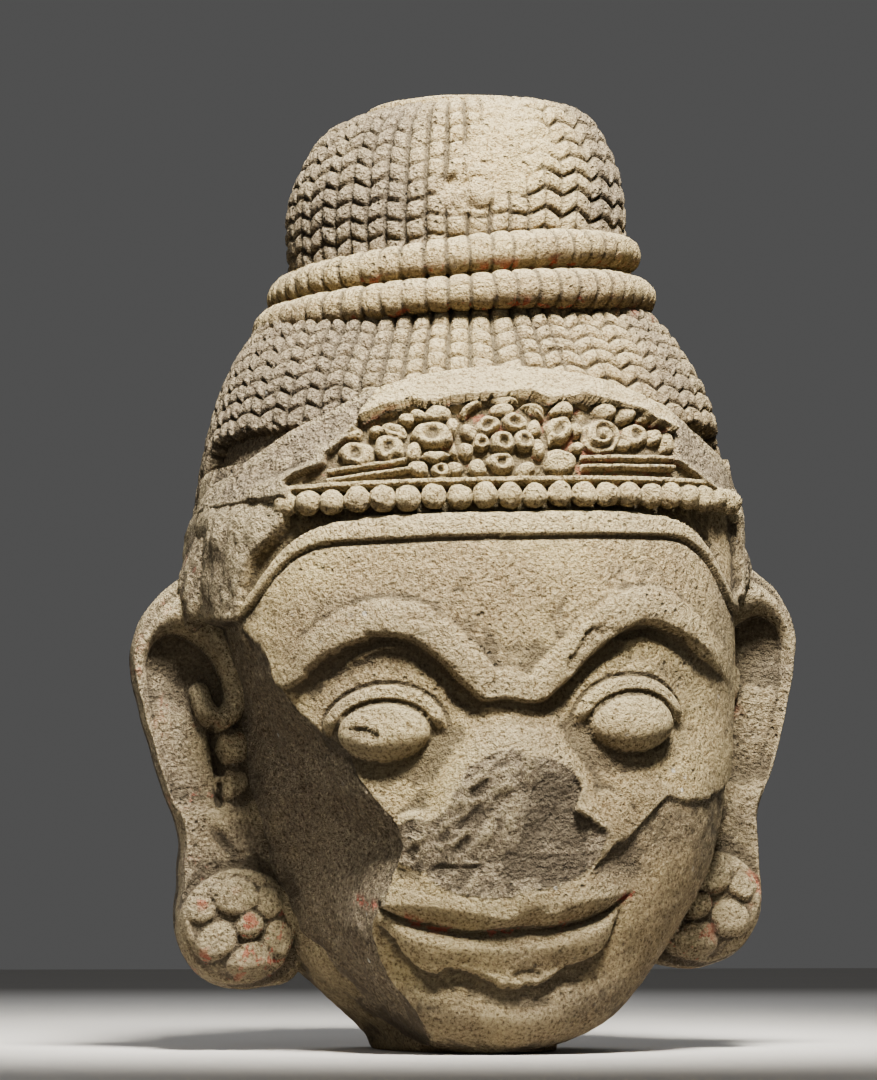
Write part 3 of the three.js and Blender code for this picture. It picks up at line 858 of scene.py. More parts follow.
def build_neck():
    """The stub of the neck, cut flat below."""
    angle = np.linspace(-math.pi, math.pi, 201)[:-1]
    share = np.linspace(0, 1, 54)[:, None]
    foot = -LEAN * outline(NECK_LEVELS, np.zeros_like(angle), angle)[:, 0]
    z = foot[None, :] * (1 - share) + 150 * share
    angle = np.broadcast_to(angle, z.shape)
    plain = outline(NECK_LEVELS, z, angle, -12 * smooth(126, 150, z))
    relief = (1.8 * rough(plain, 30, 4, 51) + 0.5) * smooth(0, 5, z)
    grid = plain + normals(plain) * relief[..., None]
    grid[0, :, 2] = -LEAN * grid[0, :, 0]
    marks = {"hollow": hollows(relief), "broken": 0.6 * smooth(2, 10, z), "paint": 0 * relief}
    return finished(shell("neck_stub", grid, marks))


# Hair, with its plaits displaced by Geometry Nodes


def node_math(tree, operation, *values):
    """A math node's output, from sockets or numbers."""
    node = tree.nodes.new("ShaderNodeMath")
    node.operation = operation
    for socket, value in zip(node.inputs, values):
        if isinstance(value, bpy.types.NodeSocket):
            tree.links.new(value, socket)
        else:
            socket.default_value = value
    return node.outputs[0]


def named_value(tree, name):
    """The output that reads a value stored on the points."""
    node = tree.nodes.new("GeometryNodeInputNamedAttribute")
    node.data_type = "FLOAT"
    node.inputs["Name"].default_value = name
    return node.outputs["Attribute"]


def new_tree(name, sizes):
    """A Geometry Nodes tree with a geometry, named sizes and a material as its inputs."""
    tree = bpy.data.node_groups.new(name, "GeometryNodeTree")
    tree.interface.new_socket("Geometry", in_out="INPUT", socket_type="NodeSocketGeometry")
    for size, value in sizes.items():
        socket = tree.interface.new_socket(size, in_out="INPUT", socket_type="NodeSocketFloat")
        socket.default_value = value
    tree.interface.new_socket("Material", in_out="INPUT", socket_type="NodeSocketMaterial")
    tree.interface.new_socket("Geometry", in_out="OUTPUT", socket_type="NodeSocketGeometry")
    source = tree.nodes.new("NodeGroupInput")
    return tree, source


def end_tree(tree, source, geometry):
    """Ends a tree in real geometry with its material."""
    real = tree.nodes.new("GeometryNodeRealizeInstances")
    tree.links.new(geometry, real.inputs["Geometry"])
    paint = tree.nodes.new("GeometryNodeSetMaterial")
    tree.links.new(real.outputs["Geometry"], paint.inputs["Geometry"])
    tree.links.new(source.outputs["Material"], paint.inputs["Material"])
    end = tree.nodes.new("NodeGroupOutput")
    tree.links.new(paint.outputs["Geometry"], end.inputs["Geometry"])


def moved_out(tree, geometry, height):
    """The geometry with its points moved along their normals."""
    normal = tree.nodes.new("GeometryNodeInputNormal")
    scale = tree.nodes.new("ShaderNodeVectorMath")
    scale.operation = "SCALE"
    tree.links.new(normal.outputs["Normal"], scale.inputs["Vector"])
    tree.links.new(height, scale.inputs["Scale"])
    place = tree.nodes.new("GeometryNodeSetPosition")
    tree.links.new(geometry, place.inputs["Geometry"])
    tree.links.new(scale.outputs["Vector"], place.inputs["Offset"])
    return place.outputs["Geometry"]


def stored(tree, geometry, name, value):
    """The geometry with a value stored on its points."""
    node = tree.nodes.new("GeometryNodeStoreNamedAttribute")
    node.data_type = "FLOAT"
    node.domain = "POINT"
    node.inputs["Name"].default_value = name
    tree.links.new(geometry, node.inputs["Geometry"])
    tree.links.new(value, node.inputs["Value"])
    return node.outputs["Geometry"]


def pillow(tree, share, power):
    """A rounded hump over each whole step of a share from 0 to 1."""
    centred = node_math(tree, "ABSOLUTE", node_math(tree, "MULTIPLY_ADD", share, 2.0, -1.0))
    return node_math(tree, "SUBTRACT", 1.0, node_math(tree, "POWER", centred, power))


def plait_tree():
    """Strands side by side, each a column of leaves that slant up in one strand and down in the next."""
    tree, source = new_tree("Plaits", {"Depth": 6 * UNIT, "Groove": 3.8 * UNIT, "Roundness": 0.7})
    strand, row, wear, slant = (named_value(tree, name) for name in ("strand", "row", "wear", "slant"))
    beside, below = named_value(tree, "beside"), named_value(tree, "below")
    zigzag = node_math(tree, "PINGPONG", strand, 1.0)
    along = node_math(tree, "FRACT", node_math(tree, "MULTIPLY_ADD", zigzag, slant, row))
    roundness = source.outputs["Roundness"]
    wide = node_math(tree, "POWER", pillow(tree, node_math(tree, "FRACT", strand), 3.2), roundness)
    tall = node_math(tree, "POWER", pillow(tree, along, 4.2), roundness)
    wide = node_math(tree, "MULTIPLY", node_math(tree, "SUBTRACT", 1.0, wide), beside)
    tall = node_math(tree, "MULTIPLY", node_math(tree, "SUBTRACT", 1.0, tall), below)
    across, up = node_math(tree, "SUBTRACT", 1.0, wide), node_math(tree, "SUBTRACT", 1.0, tall)
    leaf = node_math(tree, "MULTIPLY", across, up)
    kept = node_math(tree, "SUBTRACT", 1.0, wear)
    height = node_math(tree, "MULTIPLY", leaf, source.outputs["Depth"])
    height = node_math(tree, "SUBTRACT", height, source.outputs["Groove"])
    height = node_math(tree, "MULTIPLY", height, kept)
    # Painted shade: the grooves between leaves are marked as hollows, which the stone darkens.
    crease = node_math(tree, "MULTIPLY", kept, 1.3)
    crease = node_math(tree, "MULTIPLY", node_math(tree, "SUBTRACT", 0.95, leaf), crease)
    geometry = moved_out(tree, source.outputs["Geometry"], height)
    end_tree(tree, source, stored(tree, geometry, "hollow", crease))
    return tree


def applied(piece, tree, sizes):
    """The piece with a tree's result as its plain mesh."""
    modifier = piece.modifiers.new(tree.name, "NODES")
    modifier.node_group = tree
    sockets = {s.name: s.identifier for s in tree.interface.items_tree if s.in_out == "INPUT"}
    for name, value in sizes.items():
        modifier[sockets[name]] = value
    modifier[sockets["Material"]] = bpy.data.materials[STONE]
    bpy.context.view_layer.update()
    result = piece.evaluated_get(bpy.context.evaluated_depsgraph_get())
    mesh = bpy.data.meshes.new_from_object(result)
    piece.modifiers.clear()
    old, piece.data = piece.data, mesh
    mesh.name = piece.name
    bpy.data.meshes.remove(old)
    mesh.polygons.foreach_set("use_smooth", [True] * len(mesh.polygons))
    return piece


def hair_grid(levels, z, angle, count, pitch, seed, wear):
    """Points and marks of plaited hair: strands count round the head, rows down it."""
    drift = noise(outline(levels, z, angle), 30, seed) * 0.14 * 2 * math.pi / count
    plain = outline(levels, z, angle + drift)
    climb = np.gradient(plain, axis=0)
    climbed = np.cumsum(np.linalg.norm(climb, axis=-1), axis=0)[:-1]
    lengths = np.concatenate([np.zeros((1, z.shape[1])), climbed])
    lengths = lengths[-1] - lengths
    strand = (angle / (2 * math.pi) + 0.5) * count
    own = np.sin(np.floor(strand + 0.01) * 12.9898 + seed) * 43758.5453
    own = own - np.floor(own) - 0.5
    side = np.sin(angle)
    chevrons = smooth(0.0, 0.4, side)
    scales = smooth(0.35, 0.75, -side)
    shift = 0.5 * own * (1 - chevrons) * (1 - 0.6 * scales)
    # Painted shade and soil: the hair's sides, which turn away from the light, are darkened as painted shade,
    # with random darker patches; this goes in the broken mark.
    shade_and_soil = 0.9 * smooth(0.15, 0.6, -side) + 0.85 * smooth(0.4, 0.8, side) + 0.35 * rough(plain, 60, 3, 27)
    marks = {
        "strand": strand,
        "row": lengths / pitch + shift + 0.25 * noise(plain, 36, seed + 5),
        "slant": 0.2 + 0.28 * scales + 0.34 * chevrons + 0.08 * noise(plain, 60, seed + 9),
        "beside": 1 - 0.5 * chevrons - 0.2 * scales,
        "below": 0.55 + 0.45 * chevrons + 0.3 * scales,
        "wear": np.clip(wear + 0.2 * rough(plain, 24, 3, seed + 3), 0, 1),
        "broken": np.clip(shade_and_soil, 0, 1),
        "paint": np.zeros_like(z),
        "hollow": np.zeros_like(z),
    }
    return plain, marks


def build_crown():
    """The plaited hair over the crown, from the hairline to the lower cord."""
    count = bpy.context.scene.guardian_sizes.braids_on_crown
    angle = np.linspace(-math.pi, math.pi, count * 10 + 1)[:-1]
    share = np.linspace(0, 1, 118)[:, None]
    bottom = hairline(angle)[None, :]
    z = bottom + (506 - bottom) * share
    angle = np.broadcast_to(angle, z.shape)
    plain = outline(HEAD_LEVELS, z, angle)
    front = smooth(0.2, 0.9, np.cos(angle))
    worn = 1 - smooth(0, 12, z - hairline(angle) - 3 * noise(plain, 20, 8))
    pitch = 12.4 + 8 * smooth(0.2, -0.5, np.cos(angle))
    grid, marks = hair_grid(HEAD_LEVELS, z, angle, count, pitch, 21, 0.02 + 0.75 * worn * front)
    x = grid[..., 0]
    grid = grid + normals(grid) * (0.8 * noise(grid, 50, 4) + 0.5 * rough(grid, 8, 2, 14))[..., None]
    grid = grid - normals(grid) * (7 * (share < 0.005) * np.ones_like(z))[..., None]
    marks["paint"] = smooth(486, 500, z) * smooth(-0.1, 0.5, np.cos(angle)) * 0.7 * smooth(-80, 60, x)
    piece = shell("crown_hair", grid, marks)
    return finished(applied(piece, bpy.data.node_groups["Plaits"], {"Depth": 7.2 * UNIT}))


def build_topknot():
    """The topknot: plaits drawn up to a flat top, worn smooth in front, with the stump of an ornament."""
    count = bpy.context.scene.guardian_sizes.braids_on_topknot
    angle = np.linspace(-math.pi, math.pi, count * 11 + 1)[:-1]
    z = spread(508, 642, 124, lambda z: 1 + 0.8 * smooth(600, 636, z))[:, None]
    z, angle = np.broadcast_arrays(z, angle[None, :])
    plain = outline(TOPKNOT_LEVELS, z, angle)
    x, front = plain[..., 0], smooth(0.3, 0.7, np.cos(angle))
    patch = 1 - smooth(0.7, 1.15, np.hypot((x - 16) / 32, (z - 606) / 34) + 0.3 * noise(plain, 18, 2))
    stump = 1 - smooth(0.8, 1.2, np.hypot((x + 12) / 24, (z - 571) / 15) + 0.2 * noise(plain, 12, 2))
    wear = 0.02 + 0.8 * np.maximum(patch, stump) * front + 0.25 * smooth(622, 640, z)
    grid, marks = hair_grid(TOPKNOT_LEVELS, z, angle, count, 13.4, 33, np.clip(wear, 0, 1))
    lump = 5 * np.clip(1 - ((x + 6) / 10) ** 2 - ((z - 570) / 10) ** 2, 0, 1) ** 0.6
    ring = 1.8 * np.exp(-(((np.hypot(x + 6, z - 570) - 15) / 3) ** 2)) * smooth(4, -8, x)
    pit = 5 * np.exp(-((np.hypot(x + 24, z - 578) / 5) ** 2))
    relief = front * (lump + ring - pit + 1.8 * np.maximum(patch, stump) * rough(plain, 12, 3, 18))
    relief = relief + 0.9 * noise(plain, 44, 6) + 0.5 * rough(plain, 8, 2, 16)
    grid = grid + normals(grid) * relief[..., None]
    grid[..., 2] += TOPKNOT_LEAN * x * smooth(540, 630, z)
    piece = shell("topknot", grid, marks)
    return finished(applied(piece, bpy.data.node_groups["Plaits"], {"Depth": 7.0 * UNIT}))


def build_top():
    """The thin slab on top of the topknot, a little off level."""
    angle = np.linspace(-math.pi, math.pi, 181)[:-1]
    reach = np.array([row[0] for row in SLAB_ROWS], float)[:, None]
    z = np.array([row[1] for row in SLAB_ROWS], float)[:, None] + 0 * angle
    x = reach * np.sin(angle) + SLAB_ACROSS
    y = TOPKNOT_AXIS - 2 - reach * np.cos(angle)
    grid = np.stack(np.broadcast_arrays(x, y, z), -1).copy()
    grid[..., :2] *= (1 + 0.02 * noise(grid, 22, 3))[..., None]
    grid[..., 2] += 0.4 * noise(grid, 14, 4) + 0.3 * TOPKNOT_LEAN * grid[..., 0]
    marks = {mark: np.zeros(grid.shape[:2]) for mark in ("hollow", "broken", "paint")}
    return finished(shell("top_slab", grid, marks))


# The cords


def cord_tree():
    """A thick cord along a path, wound with grooves."""
    sizes = {"Grooves": 54.0, "Depth": 3.4 * UNIT, "Slant": 0.9}
    tree, source = new_tree("Wound Cord", sizes)
    across, around, wear = (named_value(tree, name) for name in ("along", "around", "wear"))
    turn = node_math(tree, "MULTIPLY", across, source.outputs["Grooves"])
    slanted = node_math(tree, "MULTIPLY_ADD", around, source.outputs["Slant"], turn)
    hump = node_math(tree, "POWER", pillow(tree, node_math(tree, "FRACT", slanted), 3.6), 0.6)
    kept = node_math(tree, "SUBTRACT", 1.0, wear)
    cut = node_math(tree, "MULTIPLY", node_math(tree, "SUBTRACT", 1.0, hump), kept)
    height = node_math(tree, "MULTIPLY", cut, node_math(tree, "MULTIPLY", source.outputs["Depth"], -1.0))
    geometry = moved_out(tree, source.outputs["Geometry"], height)
    # Painted shade: the grooves are marked as hollows, which the stone darkens.
    end_tree(tree, source, stored(tree, geometry, "hollow", node_math(tree, "MULTIPLY", cut, 1.2)))
    return tree


def build_cords():
    """Two wound cords round the foot of the topknot."""
    pieces = []
    for i, (height, reach, tilt) in enumerate(zip(CORD_HEIGHTS, CORD_REACH, CORD_LEAN)):
        angle = np.linspace(-math.pi, math.pi, 561)[:-1][None, :]
        turn = np.linspace(-math.pi, math.pi, 33)[:-1][:, None]
        angle, turn = np.broadcast_arrays(angle, turn)
        radius = CORD_RADIUS * (1 + 0.05 * np.sin(3 * angle + i))
        out = reach + radius * np.cos(turn)
        x = np.sin(angle) * out
        y = TOPKNOT_AXIS - np.cos(angle) * out
        grid = np.stack([x, y, height + radius * np.sin(turn) + tilt * x], -1)
        lumps = 0.8 * noise(grid, 30, 5 + i) + 0.5 * rough(grid, 8, 2, 75 + i)
        facing = np.stack([np.sin(angle) * np.cos(turn), -np.cos(angle) * np.cos(turn), np.sin(turn)], -1)
        grid = grid + facing * lumps[..., None]
        marks = {
            "along": (angle / (2 * math.pi) + 0.5) + 0.0022 * noise(grid, 20, 9),
            "around": turn / (2 * math.pi) * (0.3 + 0.7 * smooth(0, 1, np.sin(angle))),
            "wear": np.clip(0.05 + 0.75 * rough(grid, 46, 3, 71 + i), 0, 0.8),
            "broken": np.zeros_like(x),
            "hollow": np.zeros_like(x),
            "paint": smooth(0.4, 0.9, -np.sin(turn)) * 0.8,
        }
        piece = ring_object(f"cord_{i + 1}", grid, marks)
        wound = applied(piece, bpy.data.node_groups["Wound Cord"], {"Grooves": 56.0 - 4 * i})
        pieces.append(finished(wound))
    return pieces


def ring_object(name, grid, marks):
    """A closed ring from a grid of drawn points that joins up both ways."""
    rows, columns = grid.shape[:2]
    index = np.arange(rows * columns).reshape(rows, columns)
    a, b = index, np.roll(index, -1, 1)
    c, d = np.roll(b, -1, 0), np.roll(a, -1, 0)
    quads = np.stack([a, b, c, d], -1).reshape(-1, 4)
    points = leaned(grid.reshape(-1, 3))
    if signed_volume(points, quads) < 0:
        quads = quads[:, ::-1]
    return mesh_object(name, points, quads.tolist(), {mark: v.reshape(-1) for mark, v in marks.items()})


# The diadem


def ledge_top(x):
    """The diadem's upper edge, which arches over the rosette."""
    return BAND_TOP - BAND_ARCH * (x / 113) ** 2


def motif(kind, across, up, wide, tall, turn, out):
    """How far one piece of carved ornament stands out, by place from its middle."""
    c, s = math.cos(math.radians(turn)), math.sin(math.radians(turn))
    a, b = (across * c + up * s) / wide, (up * c - across * s) / tall
    reach = np.hypot(a, b)
    body = np.clip(1 - reach**3.2, 0, 1) ** 0.5
    if kind == "cup":
        return out * body * (1 - 0.42 * np.exp(-((reach / 0.42) ** 4)))
    if kind == "leaf":
        return out * body * (1 - 0.22 * np.exp(-((b / 0.2) ** 2)))
    if kind == "curl":
        spiral = 0.5 + 0.5 * np.cos(reach * 11.5 + np.arctan2(b, a))
        return out * body * (1 - 0.34 * spiral * smooth(0.12, 0.24, reach))
    return out * body


def petalled(petals, across, up):
    """The highest of a set of petals at each place."""
    heights = []
    for kind, x, z, wide, tall, turn, out in petals:
        heights.append(motif(kind, across - x, up - z, wide, tall, turn, out))
    return np.maximum.reduce(heights)


def diadem_relief(points):
    """How far the diadem stands out of the head, and where it is broken."""
    warp = 1.3 * noise(points, 6.5, 55), 1.3 * noise(points, 6.5, 56)
    x, z = points[..., 0], points[..., 2]
    wx, wz = x + warp[0], z + warp[1]
    top = ledge_top(x)
    carved = np.full_like(x, 0.6)
    carved = np.maximum(carved, petalled(ORNAMENT, wx, wz))
    rose = np.hypot((x - ROSETTE[0]) / 31, (z - ROSETTE[1]) / 28)
    flower = petalled(PETALS, wx - ROSETTE[0], wz - ROSETTE[1])
    carved = np.where(rose < 1, np.maximum(flower, 2.0), carved)
    for line, thick, out in MOULDINGS:
        tilt = np.where(x < 0, 0.11 * (x + 64), 0.012 * (x - 80))
        moulding = out * np.sqrt(np.clip(1 - ((z - line - tilt) / thick) ** 2, 0, 1))
        band = (x > 50) & (x < 116) | (x < -62) & (x > -112)
        carved = np.where(band, np.maximum(carved, moulding), carved)
    ledge_foot = top - 22 + 2.6 * rough(points, 17, 2, 12) + 6 * smooth(30, 80, np.abs(x))
    ledge = 14.5 - 8.5 * smooth(-2, 24, z - ledge_foot) + 0.7 * noise(points, 9, 7)
    carved = np.where(z > ledge_foot, np.maximum(ledge, 0), carved)
    carved = np.maximum(carved, 7.0 * (z < BAND_BOTTOM + 3.0))
    carved += 0.5 * rough(points, 6, 3, 15)
    left_edge = -112 + 0.62 * np.clip(z - 378, -20, 60) * smooth(388, 402, z) + 3.0 * rough(points, 14, 3, 13)
    left_edge = left_edge - 24 * (1 - smooth(372, 388, z))
    right_edge = PANEL_EDGE + 0.8 * noise(points, 10, 19) + 1.6 * np.clip(384 - z, 0, 40)
    kept = smooth(-1.2, 1.2, x - left_edge) * (1 - smooth(-1.0, 1.2, x - right_edge))
    stump = 3.0 + 1.5 * rough(points, 30, 5, 29) + 6.0 * (1 - smooth(0, 26, left_edge - x)) * (x < 0)
    stump = stump + 5.0 * (1 - smooth(0, 22, x - right_edge)) * (x > 0) + 4.0 * smooth(388, 362, z) * (x < 0)
    return carved * kept + stump * (1 - kept), 1 - kept


def build_diadem():
    """The diadem's band, with its flowers, broken down at both sides."""
    angle = spread(-1.78, 1.72, 600, lambda a: 0.16 + 0.84 * (1 - smooth(0.8, 1.05, np.abs(a))))
    z = np.linspace(352, 454, 148)
    angle, z = np.meshgrid(angle, z)
    plain = outline(HEAD_LEVELS, z, angle)
    out = normals(plain, closed=False)
    relief, gone = diadem_relief(plain)
    top = ledge_top(plain[..., 0]) - 40 * smooth(1.3, 1.8, np.abs(angle))
    over = smooth(-1, 5, z - top)
    under = smooth(BAND_BOTTOM, BAND_BOTTOM - 3, z) * (1 - gone)
    ends = smooth(1.5, 1.74, np.abs(angle))
    sunk = np.maximum.reduce([over, under, ends, smooth(366, 352, z)])
    relief = relief * (1 - sunk) - 9 * sunk
    front = plain + out * relief[..., None]
    inside = plain[::14] - out[::14] * 24
    grid = np.concatenate([front, inside[::-1]]).transpose(1, 0, 2)
    # Dirt and painted shade: the carving's hollows are marked for the stone to darken.
    carve = np.clip(hollows(relief, closed=False) * 1.2, -1, 1)
    behind = np.zeros_like(inside[..., 0])
    marks = {
        "hollow": np.concatenate([carve, behind]).T,
        "broken": np.concatenate([gone, behind]).T,
        "paint": np.concatenate([0.35 * (relief < 5) * (1 - gone), behind]).T,
    }
    return finished(shell("diadem", grid, marks))


def bead_tree():
    """Beads on points, each a little unlike the next."""
    tree, source = new_tree("Beads", {"Radius": 8.6 * UNIT, "Wear": 0.9 * UNIT})
    ball = tree.nodes.new("GeometryNodeMeshIcoSphere")
    ball.inputs["Subdivisions"].default_value = 4
    tree.links.new(source.outputs["Radius"], ball.inputs["Radius"])
    place = tree.nodes.new("GeometryNodeInstanceOnPoints")
    tree.links.new(source.outputs["Geometry"], place.inputs["Points"])
    tree.links.new(ball.outputs["Mesh"], place.inputs["Instance"])
    scale = tree.nodes.new("FunctionNodeRandomValue")
    scale.data_type = "FLOAT_VECTOR"
    scale.inputs["Min"].default_value = (0.93, 0.9, 0.93)
    scale.inputs["Max"].default_value = (1.04, 1.05, 1.06)
    scale.inputs["Seed"].default_value = 7
    tree.links.new(scale.outputs["Value"], place.inputs["Scale"])
    real = tree.nodes.new("GeometryNodeRealizeInstances")
    tree.links.new(place.outputs["Instances"], real.inputs["Geometry"])
    worn = tree.nodes.new("ShaderNodeTexNoise")
    worn.inputs["Scale"].default_value = 95.0
    worn.inputs["Detail"].default_value = 3.0
    height = node_math(tree, "SUBTRACT", worn.outputs[0], 0.5)
    height = node_math(tree, "MULTIPLY", height, node_math(tree, "MULTIPLY", source.outputs["Wear"], 5.0))
    rubbed = node_math(tree, "MULTIPLY", worn.outputs[0], -1.1)
    moved = moved_out(tree, real.outputs["Geometry"], height)
    end_tree(tree, source, stored(tree, moved, "hollow", rubbed))
    return tree


def build_beads():
    """The string of beads under the diadem, from one broken end to the other."""
    radius = bpy.context.scene.guardian_sizes.bead_radius / UNIT
    places = []
    for angle in np.arange(-1.5, 1.5, 0.001):
        point = outline(HEAD_LEVELS, np.array(BEAD_HEIGHT), np.array(angle), 2.5)
        clear = not places or np.linalg.norm(point - places[-1]) >= 1.93 * radius
        if BEADS_FROM < point[0] < BEADS_TO and clear:
            places.append(point)
    points = np.array(places)
    points[:, 2] += 0.5 * np.sin(np.arange(len(points)) * 2.4)
    piece = mesh_object("beads", leaned(points), [], {})
    sizes = {"Radius": bpy.context.scene.guardian_sizes.bead_radius}
    return finished(applied(piece, bpy.data.node_groups["Beads"], sizes))


# Ears


def beside_path(path, u, z):
    """How far out a rounded fold along a path stands at each place."""
    best = np.zeros_like(u)
    steps = np.linspace(0, len(path) - 1, (len(path) - 1) * 7 + 1)
    dense = table(np.column_stack([np.arange(len(path), dtype=float), path]), steps)
    for (ua, za, wa, ha), (ub, zb, wb, hb) in zip(dense[:-1], dense[1:]):
        span = (ub - ua) ** 2 + (zb - za) ** 2
        t = np.clip(((u - ua) * (ub - ua) + (z - za) * (zb - za)) / span, 0, 1)
        away = np.hypot(u - ua - t * (ub - ua), z - za - t * (zb - za)) / (wa + t * (wb - wa))
        best = np.maximum(best, (ha + t * (hb - ha)) * np.sqrt(np.clip(1 - away**2, 0, 1)))
    return best


def ear_relief(u, z):
    """How far an ear's front stands forward of its floor, by place outwards and height."""
    fold = beside_path(EAR_FOLD, u, z)
    rim = beside_path(EAR_RIM, u, z)
    bump = 9 * np.clip(1 - ((u - 162) / 11) ** 2 - ((z - 209) / 14) ** 2, 0, 1) ** 0.5
    lump = 7.5 * np.clip(1 - ((u - 163) / 12) ** 2 - ((z - 184) / 13) ** 2, 0, 1) ** 0.5
    plate = 3.0 * smooth(184, 200, u) * (1 - smooth(228, 244, z)) + 2.0 * smooth(196, 214, 380 - z)
    lobe = 7.0 * (1 - smooth(160, 182, z))
    slot = 12 * np.exp(-(((u - 175 + 0.14 * (222 - z)) / 3.6) ** 2))
    slot = slot * smooth(186, 194, z) * (1 - smooth(222, 232, z))
    slit = 8 * np.exp(-(((u - 171) / 2.4) ** 2)) * smooth(166, 172, z) * (1 - smooth(184, 190, z))
    dent = 4.5 * np.exp(-(((u - 169 - 0.6 * (z - 146)) / 5) ** 2) - (((z - 146) / 9) ** 2))
    hollow = 9 * np.exp(-(((u - 201) / 17) ** 2) - (((z - 262) / 22) ** 2))
    return np.maximum.reduce([fold, rim, bump, lump, plate + lobe]) - slot - slit - dent - hollow


def build_ears():
    """Both ears, with a flower roundel in each lobe."""
    return [build_ear(*ear) for ear in EARS]


def build_ear(side, name, rise, hang):
    """One ear: a plate with its front carved, that stands out from the side of the head."""
    rows = EAR_OUTLINE.copy()
    rows[:, 0] += hang * np.clip((320 - rows[:, 1]) / 130, 0, 1)
    rows[:, 1] += rise
    looped = np.concatenate([rows[-2:], rows, rows[:2]])
    places = np.arange(-2, len(rows) + 2, dtype=float)
    columns = 270
    edge = table(np.column_stack([places, looped]), np.linspace(0, len(rows), columns + 1)[:-1])
    wander = noise(np.stack([edge[:, 0], edge[:, 1], 0 * edge[:, 0]], -1), 14, 3 + side)
    edge += 0.9 * np.stack([wander] * 2, -1)
    middle = np.array([172.0, 185.0 + rise])
    front = np.linspace(0.02, 0.955, 92)[:, None]
    round_edge = np.linspace(0, math.pi, 16)[1:-1][:, None]
    back = np.linspace(0.93, 0.02, 14)[:, None]
    over_edge = 0.955 - 0.01 * (1 - np.cos(round_edge)) + 0.055 * np.sin(round_edge)
    share = np.concatenate([front, over_edge, back])
    u = middle[0] + (edge[:, 0] - middle[0]) * share
    z = middle[1] + (edge[:, 1] - middle[1]) * share
    flat = np.stack([side * u, 0 * u, z], -1)
    wobble = 1.0 * noise(flat, 24, 5 + side) + 0.6 * rough(flat, 8, 3, 6 + side)
    relief = ear_relief(u - hang * np.clip((320 - z) / 130, 0, 1) * 0.6, z - rise)
    ring_u, ring_z = 160 + hang / 2, EARRING_HEIGHT + rise
    disc = np.hypot((u - ring_u) / EARRING_REACH, (z - ring_z) / (EARRING_REACH * 0.95))
    warp = 1.2 * noise(flat, 9, 65 + side)
    petals = petalled(EARRING_PETALS, ring_u - u + warp, z - ring_z - warp)
    flower = 15 + 6 * np.clip(1 - disc**2, 0, 1) ** 0.5 + petals
    inside = 1 - smooth(0.93, 1.0, disc + 0.03 * noise(flat, 12, 8))
    relief = relief * (1 - inside) + flower * inside
    level = -13 - relief
    edge_fall = smooth(0.87, 0.96, share) ** 2 * (1 - 0.5 * inside)
    level = level * (1 - edge_fall) + (-20) * edge_fall + wobble
    y_back = 14 + 18 * (1 - share**4)
    turning = np.concatenate([np.zeros(92), (1 - np.cos(round_edge[:, 0])) / 2, np.ones(14)])[:, None]
    y = level * (1 - turning) + (y_back + wobble) * turning
    grid = np.stack([side * u, y, z], -1)
    marks = {
        # Painted shade: the ears outside the earring are darkened all over, the head's left ear more, and
        # given the broken stone's tone, partly worn stone and partly painted shade, as they sit back from the
        # light.
        "hollow": hollows(np.where(turning < 0.5, -level, 0)) + (0.2 + 0.1 * side) * (1 - inside),
        "broken": np.clip(0.75 + 0.35 * rough(flat, 40, 3, 33 + side), 0, 1),
        "paint": 0.75 * (turning < 0.5) * smooth(0.25, 0.8, noise(flat, 22, 19 + side) + 0.4 * inside),
    }
    return finished(shell(f"{name}_ear", grid, marks))


def build_stubs():
    """What is left of the hair above each ear: rough stumps, the right one drawn up to the diadem."""
    pieces = []
    for side, name, middle, size, spread_low in STUBS:
        angle = np.linspace(-math.pi, math.pi, 91)[:-1][None, :]
        tilt = np.linspace(-math.pi / 2 + 0.02, math.pi / 2 - 0.02, 56)[:, None]
        ball = [np.cos(tilt) * np.sin(angle), -np.cos(tilt) * np.cos(angle), np.sin(tilt) + 0 * angle]
        ball = np.stack(np.broadcast_arrays(*ball), -1)
        square = ball / np.linalg.norm(ball**2, axis=-1, keepdims=True) ** 0.08
        grid = square * np.array(size) + np.array(middle)
        grid[..., 0] += side * spread_low * (middle[2] + 6 - grid[..., 2])
        strands = np.stack([grid[..., 0], grid[..., 1], 0 * grid[..., 2]], -1)
        strands = strands + 0.8 * grid[..., 2:] * np.array([side, 1, 0])
        relief = 3.0 * rough(grid, 28, 4, 83 + side) - 2.2 * np.abs(noise(strands, 9, 84))
        grid = grid + ball * relief[..., None]
        broken = np.full(relief.shape, 0.9)
        marks = {"hollow": hollows(relief), "broken": broken, "paint": 0.25 * (relief < -2)}
        pieces.append(finished(shell(f"{name}_temple_stub", grid, marks)))
    return pieces


# Stone


def add_socket(tree, name, kind, way, value=None):
    """A named socket on a shader group."""
    socket = tree.interface.new_socket(name, in_out=way, socket_type=kind)
    if value is not None:
        socket.default_value = value
    return socket


def node_mix(tree, blend, factor, first, second):
    """A colour mix of sockets or plain colours."""
    node = tree.nodes.new("ShaderNodeMix")
    node.data_type = "RGBA"
    node.blend_type = blend
    for socket, value in ((node.inputs[0], factor), (node.inputs[6], first), (node.inputs[7], second)):
        if isinstance(value, bpy.types.NodeSocket):
            tree.links.new(value, socket)
        else:
            socket.default_value = value
    return node.outputs[2]


def node_ramp(tree, value, low, high):
    """A value's climb from 0 at low to 1 at high."""
    node = tree.nodes.new("ShaderNodeMapRange")
    node.interpolation_type = "SMOOTHSTEP"
    node.inputs["From Min"].default_value = low
    node.inputs["From Max"].default_value = high
    tree.links.new(value, node.inputs["Value"])
    return node.outputs["Result"]


